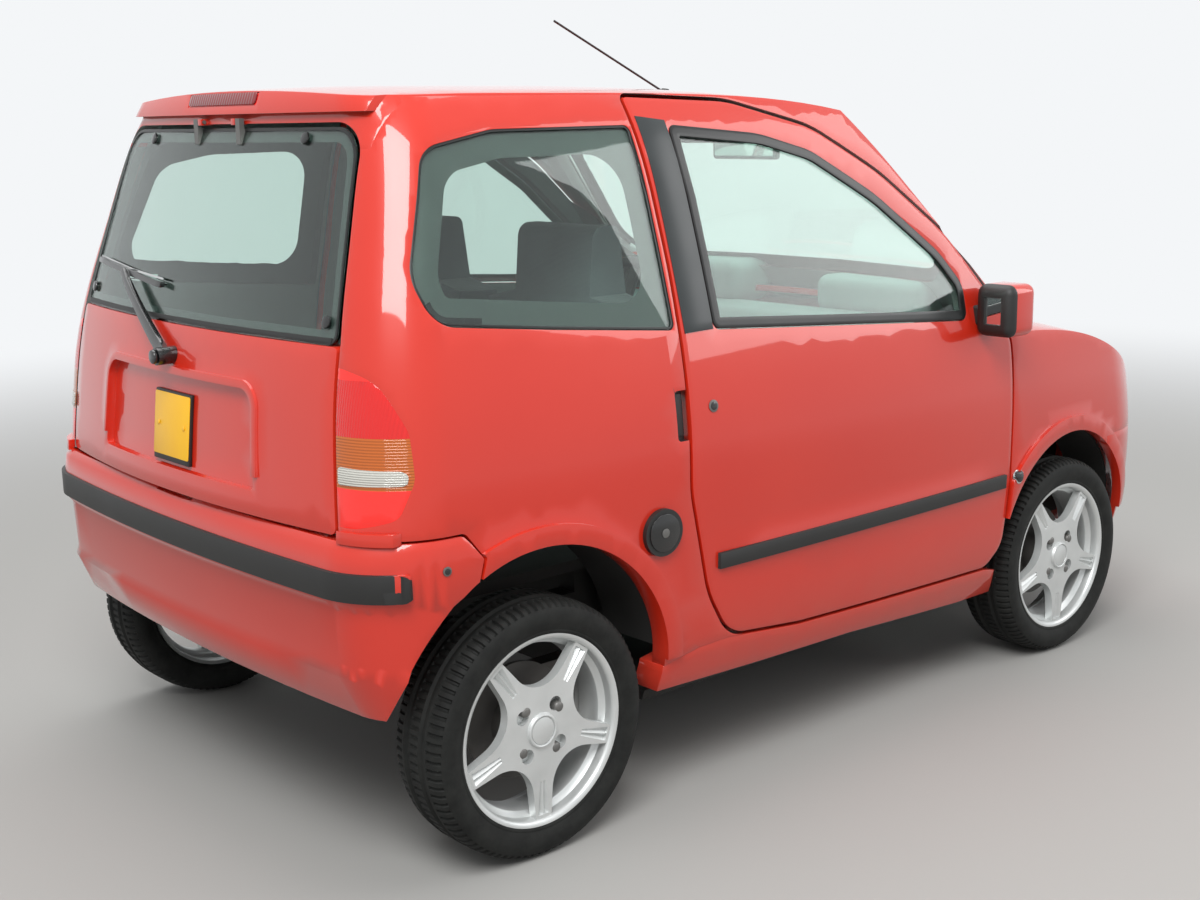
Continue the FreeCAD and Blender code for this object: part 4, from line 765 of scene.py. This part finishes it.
def makeSpider():
    step = math.tau / spider["spokes"]
    angles = [step * k for k in range(spider["spokes"])]
    corners = []
    for angle in angles:
        corners.append((*polar(spider["tipRadius"], angle, spider["tipHalf"]), 0))
        corners.append((*polar(spider["tipRadius"], angle, -spider["tipHalf"]), 0))
        corners.append((*polar(spider["cornerRadius"], angle + step / 2), spider["rounding"]))
    piece = drawOutline("rim_spider", corners, 16, 0.7)
    bpy.ops.mesh.extrude_region_move(TRANSFORM_OT_translate={"value": (0, 0, spider["thickness"] * mm)})
    objectMode()
    outwards(piece)
    cutters = []
    groove = spider["grooves"]       # two on each spoke, drawn apart towards its tip
    for angle in angles:
        for aside in (-groove["apart"], groove["apart"]):
            start = polar(groove["from"], angle, aside * 0.7)
            end = polar(groove["to"], angle, aside * 1.25)
            middle = (start + end) / 2 * mm
            bpy.ops.mesh.primitive_cone_add(vertices=4, radius1=groove["width"] * 0.35 * mm,
                                            radius2=groove["width"] * 0.9 * mm,
                                            depth=(end - start).length * mm, end_fill_type="NGON",
                                            location=(middle.x, middle.y, spider["thickness"] * mm))
            cutter = bpy.context.object
            cutter.rotation_mode = "QUATERNION"
            cutter.rotation_quaternion = Vector((*(end - start), 0)).to_track_quat("Z", "Y")
            applyPlace(cutter)
            cutters.append(cutter)
    for place in boltSpots():
        bpy.ops.mesh.primitive_cylinder_add(vertices=32, radius=spider["boltRadius"] * mm, depth=0.03,
                                            location=(place.x, place.y, spider["thickness"] * mm))
        cutters.append(bpy.context.object)
    cutter = joinedPieces("rim_cutter", cutters)
    applyModifier(piece, "BOOLEAN", operation="DIFFERENCE", object=cutter, solver="EXACT", use_self=True)
    bpy.data.objects.remove(cutter)
    softEdges(piece, 0.0034, 34, 3)
    upright = Matrix(((-1, 0, 0), (0, 0, 1), (0, 1, 0))).to_4x4()
    piece.matrix_world = Matrix.Translation((0, (spider["face"] - spider["thickness"]) * mm, 0)) @ upright
    applyPlace(piece)
    outwards(piece)
    smoothed(piece, 35)
    setMaterial(piece, alloy)
    return piece

def makeRim():
    parts = [makeSpider(), spun("rim_barrel", rimSections["barrel"], 120, alloy),
             spun("rim_cap", rimSections["cap"], 64, alloy),
             spun("rim_hub", rimSections["hub"], 72, castIron)]
    for place in boltSpots():
        bolt = spun("rim_bolt", rimSections["bolt"], 24, steel)
        bolt.data.transform(Matrix.Translation((place.x, 0, place.y)))
        parts.append(bolt)
    return joinedPieces("rim_pattern", parts)

for kind, pattern in (("tyre", makeTyre()), ("rim", makeRim())):
    for end, axle in wheel["axles"].items():
        for side, sign in sides.items():
            node = f"{kind}_{end}_{side}"
            piece = bpy.data.objects.new(f"{node}_dressed", pattern.data.copy())
            bpy.context.collection.objects.link(piece)
            piece.data.transform(Matrix.Translation((axle, sign * wheel["middle"], wheel["axleHeight"]))
                                 @ Matrix.Rotation(0 if sign == 1 else math.pi, 4, "Z"))
            standsFor(piece, node)
    bpy.data.objects.remove(pattern)
print("wheels are on their hubs")

# Outer trim: the reversing lamps' lenses, plate, bolts, wiper, mirrors, locks, caps and screws

for side, sign in sides.items():
    corners = [(sign * y, z, radius) for y, z, radius in tailLamp["clearLens"]]
    first, last, step = tailLamp["clearGrid"]
    middle = sign * tailLamp["clearMiddle"]
    patchOn(f"reversing_lens_{side}", "rear", corners, "tail_lamps", 0.3, 2.4, clearLens,
            ((middle + first, middle + last, step), (0, 0, 1)))

plate = {
    "corners": [(-72, 718, 5), (-72, 840, 5), (72, 840, 5), (72, 718, 5)],
    "thickness": 1.4,
    "screws": {"right": (-52, 779), "left": (52, 779)},
    "screwRadius": 4.5,
    "screwHeight": 1.2,
}
dressNode("number_plate", [blackTrim], 0.0018, name="number_plate_holder")
patchOn("number_plate_sheet", "rear", plate["corners"], "number_plate", 0.1, plate["thickness"],
        plateYellow)
for side, spot in plate["screws"].items():
    discOn(f"plate_screw_{side}", "rear", spot, plate["screwRadius"], "number_plate",
           plate["thickness"], plate["screwHeight"], plateYellow)

glassBolts = {"spots": [(297, 1318), (466, 1010)], "radius": 11, "height": 7}
for y, z in glassBolts["spots"]:
    for side, sign in sides.items():
        discOn(f"glass_bolt_{z}_{side}", "rear", (sign * y, z), glassBolts["radius"], "tailgate_glass",
               0.1, glassBolts["height"], glossBlack, 3.2)

footStrip = {"outline": [(-488, 976), (488, 976), (487, 985), (-487, 985)],
             "grid": ((-480, 490, 60), (0, 0, 1))}
patchOn("tailgate_glass_foot_strip", "rear", footStrip["outline"], "tailgate_glass", 0.4, 3.4,
        blackTrim, footStrip["grid"])

# the wiper's blade carries a thin bright rod along its top: a painted highlight on the blade's upper edge
wiperParts = {
    "rod": [(83, 1047), (242, 1055), (440, 1071), (440, 1075), (242, 1060), (83, 1051)],
    "rodLift": 9.5,
    "cap": (0, 915),
    "capRadius": 14,
    "capHeight": 9,
}
dressNode("rear_wiper", [glossBlack], 0.0022, 40, 3)
patchOn("rear_wiper_rod", "rear", wiperParts["rod"], "tailgate_glass", wiperParts["rodLift"], 2.2,
        bright, soft=0.4)
discOn("rear_wiper_cap", "rear", wiperParts["cap"], wiperParts["capRadius"], "rear_wiper", 0.1,
       wiperParts["capHeight"], glossBlack, 3.6)

brakeLens = {"corners": [(-131, 1380, 8), (-131, 1402, 9), (131, 1402, 9), (131, 1380, 8)],
             "grid": ((-120, 131, 24), (0, 0, 1))}
patchOn("brake_lamp_cover", "rear", brakeLens["corners"], "brake_lamp", 0.2, 4, darkRed,
        brakeLens["grid"], 1.8)
print("tailgate is trimmed")

mirrorShape = {
    "shell": ((302, 680, 846), (402, 780, 964)),
    "foot": ((312, 640, 869), (352, 700, 913)),
    "rounding": 22,
    "footRounding": 6,
    "frame": 0.006,
    "sunk": 0.006,
    "blackTo": 0.325,                # the shell's rim and inner side are black up to here
    "innerSide": 0.702,
    "glassFrom": 0.3065,
}

def mirrorShell(name):
    shell = roundedBox(name, *mirrorShape["shell"], mirrorShape["rounding"], paint, 5)
    editMode(shell)
    selectFaces(shell, lambda spot, way: way.x < -0.99)
    bpy.ops.mesh.inset(thickness=mirrorShape["frame"], depth=0)
    bpy.ops.mesh.inset(thickness=0.0015, depth=-mirrorShape["sunk"])
    objectMode()
    setMaterial(shell, paint, blackTrim, mirrorSilver)
    finishFaces(shell, 1, lambda spot, way: spot.x < mirrorShape["blackTo"]
                or (way.y < -0.5 and spot.y < mirrorShape["innerSide"]))
    finishFaces(shell, 2, lambda spot, way: way.x < -0.99 and spot.x > mirrorShape["glassFrom"])
    return shell

latch = {"outline": [(-636, 750, 6), (-636, 830, 6), (-614, 830, 2), (-614, 750, 2)], "thickness": 3}
stripEnd = {"outline": [(-1276, 550), (-1276, 599), (-1238, 599, 23), (-1238, 550, 23)],
            "grid": ((-1270, -1236, 7), (0, 0, 1)), "thickness": 3.2}
smallDiscs = [           # name, node under it, place, radius, lift, thickness, material, soft edge
    ("door_lock", "door_panel", (-544, 799), 12, 0.1, 2.0, steel, 0.8),
    ("door_lock_barrel", "door_panel", (-544, 799), 8, 2.0, 1.4, glossBlack, 0.8),
    ("side_repeater_ring", "wing", (476, 492), 16, 0.1, 2.4, bright, 0.8),
    ("side_repeater", "wing", (476, 492), 13, 2.2, 3.2, glossBlack, 2.4),
    ("bumper_screw", "bumper_rear", (-1173, 595), 8.5, 0.1, 2.6, steel, 0.8),
    ("bumper_screw_head", "bumper_rear", (-1173, 595), 5.5, 2.4, 1.4, glossBlack, 0.8),
]
for side, sign in sides.items():
    shell = mirrorShell(f"mirror_{side}_dressed")
    foot = roundedBox("mirror_foot", *mirrorShape["foot"], mirrorShape["footRounding"], blackTrim)
    mirror = joinedPieces(shell.name, [shell, foot])
    if sign < 0:
        mirror.data.transform(Matrix.Scale(-1, 4, (0, 1, 0)))
        outwards(mirror)
    smoothed(mirror, 35)
    standsFor(mirror, f"mirror_{side}")

    for name, under, spot, radius, lift, thickness, material, soft in smallDiscs:
        target = under if under in nodes else f"{under}_{side}"
        discOn(f"{name}_{side}", side, spot, radius, target, lift, thickness, material, soft)
    patchOn(f"door_latch_{side}", side, latch["outline"], f"side_panel_{side}", 0.1,
            latch["thickness"], blackTrim)
    patchOn(f"bumper_strip_end_{side}", side, stripEnd["outline"], "bumper_rear", 0.2,
            stripEnd["thickness"], blackTrim, stripEnd["grid"], 1)

fuelCap = {"spot": (-688, 576), "lid": 37, "lidHeight": 2.6, "lock": 9, "lockHeight": 2.2}
discOn("fuel_cap_lid", "right", fuelCap["spot"], fuelCap["lid"], "fuel_cap", 0.1,
       fuelCap["lidHeight"], glossBlack, 1.6)
discOn("fuel_cap_lock", "right", fuelCap["spot"], fuelCap["lock"], "fuel_cap",
       fuelCap["lidHeight"], fuelCap["lockHeight"], steel)
print("doors and sides are trimmed")

# Cabin: padded seats, soft dashboard with its pods, steering wheel and the mirror over the windscreen

seatShape = {"shoulder": 0.955, "neck": 0.99, "headrestShare": 0.56, "middle": 0.268, "rounding": 0.022}

def narrowHeadrest(seat, sign):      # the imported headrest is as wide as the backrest
    cutLevels(seat, (seatShape["shoulder"], seatShape["neck"]))
    editMode(seat)
    selectFaces(seat, lambda spot, way: spot.z > seatShape["neck"])
    bpy.ops.transform.resize(value=(1, seatShape["headrestShare"], 1),
                             center_override=(0, sign * seatShape["middle"], 0))
    objectMode()

for side, sign in sides.items():
    seat = dressNode(f"seat_{side}", [seatCloth], seatShape["rounding"], 40, 4, 40,
                     shape=lambda piece: narrowHeadrest(piece, sign))
dressNode("dashboard", [dashPlastic], 0.008, 35, 3, 35)
dressNode("steering_wheel", [blackTrim], 0.003, 40, 2, 40)

dashPods = [                         # low corner, high corner, rounding
    ((360, 130, 850), (520, 470, 965), 36),
    ((380, -470, 850), (540, -130, 945), 30),
]
for i, (low, high, soft) in enumerate(dashPods):
    rideWith(roundedBox(f"dash_pod_{i + 1}", low, high, soft, dashPlastic, 6), "dashboard")

insideMirror = {
    "box": ((262, -110, 1236), (284, 110, 1296)),
    "rounding": 9,
    "stalk": ((270, -9, 1280), (288, 9, 1316)),
    "glassHalfWidth": 0.09,
    "glassMiddle": 1.266,
    "glassHalfHeight": 0.02,
}
mirror = roundedBox("inside_mirror", *insideMirror["box"], insideMirror["rounding"], blackTrim)
editMode(mirror)
selectFaces(mirror, lambda spot, way: way.x < -0.95)
bpy.ops.mesh.inset(thickness=0.003, depth=-0.001)
objectMode()
setMaterial(mirror, blackTrim, mirrorSilver)
finishFaces(mirror, 1, lambda spot, way: way.x < -0.95 and abs(spot.y) < insideMirror["glassHalfWidth"]
            and abs(spot.z - insideMirror["glassMiddle"]) < insideMirror["glassHalfHeight"])
rideWith(mirror, "roof_panel")
rideWith(roundedBox("inside_mirror_stalk", *insideMirror["stalk"], 4, blackTrim), "roof_panel")
print("cabin is furnished")

# Floor, sky and lamps

studio = {
    "floorSize": 60.0,
    "floorColor": "a3a29f",
    "fadeFrom": 2.2,
    "fadeTo": 7.0,
    "skyLight": 0.5,
    "skyColor": "f4f6f8",
}

def backgroundSeen(tree):            # 1 for the camera, and for what shows in metal and through glass
    rays = addNode(tree, "ShaderNodeLightPath")
    seen = addNode(tree, "ShaderNodeMath", {0: rays.outputs["Is Camera Ray"],
                                            1: rays.outputs["Is Glossy Ray"]}, operation="MAXIMUM")
    return addNode(tree, "ShaderNodeMath", {0: seen.outputs[0], 1: rays.outputs["Is Transmission Ray"]},
                   operation="MAXIMUM").outputs[0]

# matt grey under the car, running out to plain white so that no horizon shows
def makeFloor(settings):
    bpy.ops.mesh.primitive_plane_add(size=settings["floorSize"], location=(0, 0, 0))
    floor = bpy.context.object
    floor.name = "studioFloor"
    material, tree, shader = newMaterial("paleStudioFloor", {"Base Color": hexColor(settings["floorColor"]),
                                                             "Roughness": 0.8})
    place = addNode(tree, "ShaderNodeTexCoord")
    reach = addNode(tree, "ShaderNodeVectorMath", {0: place.outputs["Object"]}, operation="LENGTH")
    fade = addNode(tree, "ShaderNodeMapRange", {"Value": reach.outputs["Value"],
                                                "From Min": settings["fadeFrom"],
                                                "From Max": settings["fadeTo"]},
                   interpolation_type="SMOOTHSTEP")
    shown = addNode(tree, "ShaderNodeMath", {0: fade.outputs["Result"], 1: backgroundSeen(tree)},
                    operation="MULTIPLY")
    glow = addNode(tree, "ShaderNodeEmission", {"Color": hexColor(settings["skyColor"]), "Strength": 1.0})
    addNode(tree, "ShaderNodeMixShader", {0: shown.outputs[0], 1: shader.outputs[0], 2: glow.outputs[0]},
            to=tree.nodes["Material Output"].inputs["Surface"])
    setMaterial(floor, material)

def makeSky(settings):
    world = bpy.data.worlds.new("paleSky")
    bpy.context.scene.world = world
    world.use_nodes = True
    tree = world.node_tree
    tree.nodes.clear()
    out = addNode(tree, "ShaderNodeOutputWorld")
    strength = addNode(tree, "ShaderNodeMapRange", {"Value": backgroundSeen(tree),
                                                    "To Min": settings["skyLight"], "To Max": 1.0})
    addNode(tree, "ShaderNodeBackground", {"Color": hexColor(settings["skyColor"]),
                                           "Strength": strength.outputs[0]}, to=out.inputs["Surface"])

lamps = {
    "keySoftbox": {"place": (-3.5, -3.0, 5.0), "aim": (0, 0, 0.6), "size": 3.0, "power": 330},
    "fillSoftbox": {"place": (4.5, -4.0, 3.5), "aim": (0, 0, 0.6), "size": 3.5, "power": 110},
    "topSoftbox": {"place": (0.5, 1.5, 6.0), "aim": (0, 0, 0.6), "size": 5.0, "power": 200},
}

def makeLamp(name, lamp):
    data = bpy.data.lights.new(name, "AREA")
    data.energy, data.size = lamp["power"], lamp["size"]
    light = bpy.data.objects.new(name, data)
    bpy.context.collection.objects.link(light)
    light.location = lamp["place"]
    aim = Vector(lamp["aim"]) - Vector(lamp["place"])
    light.rotation_euler = aim.to_track_quat("-Z", "Y").to_euler()

makeFloor(studio)
makeSky(studio)
for name, lamp in lamps.items():
    makeLamp(name, lamp)
bpy.context.scene.view_settings.view_transform = "Standard"
print("studio is lit")
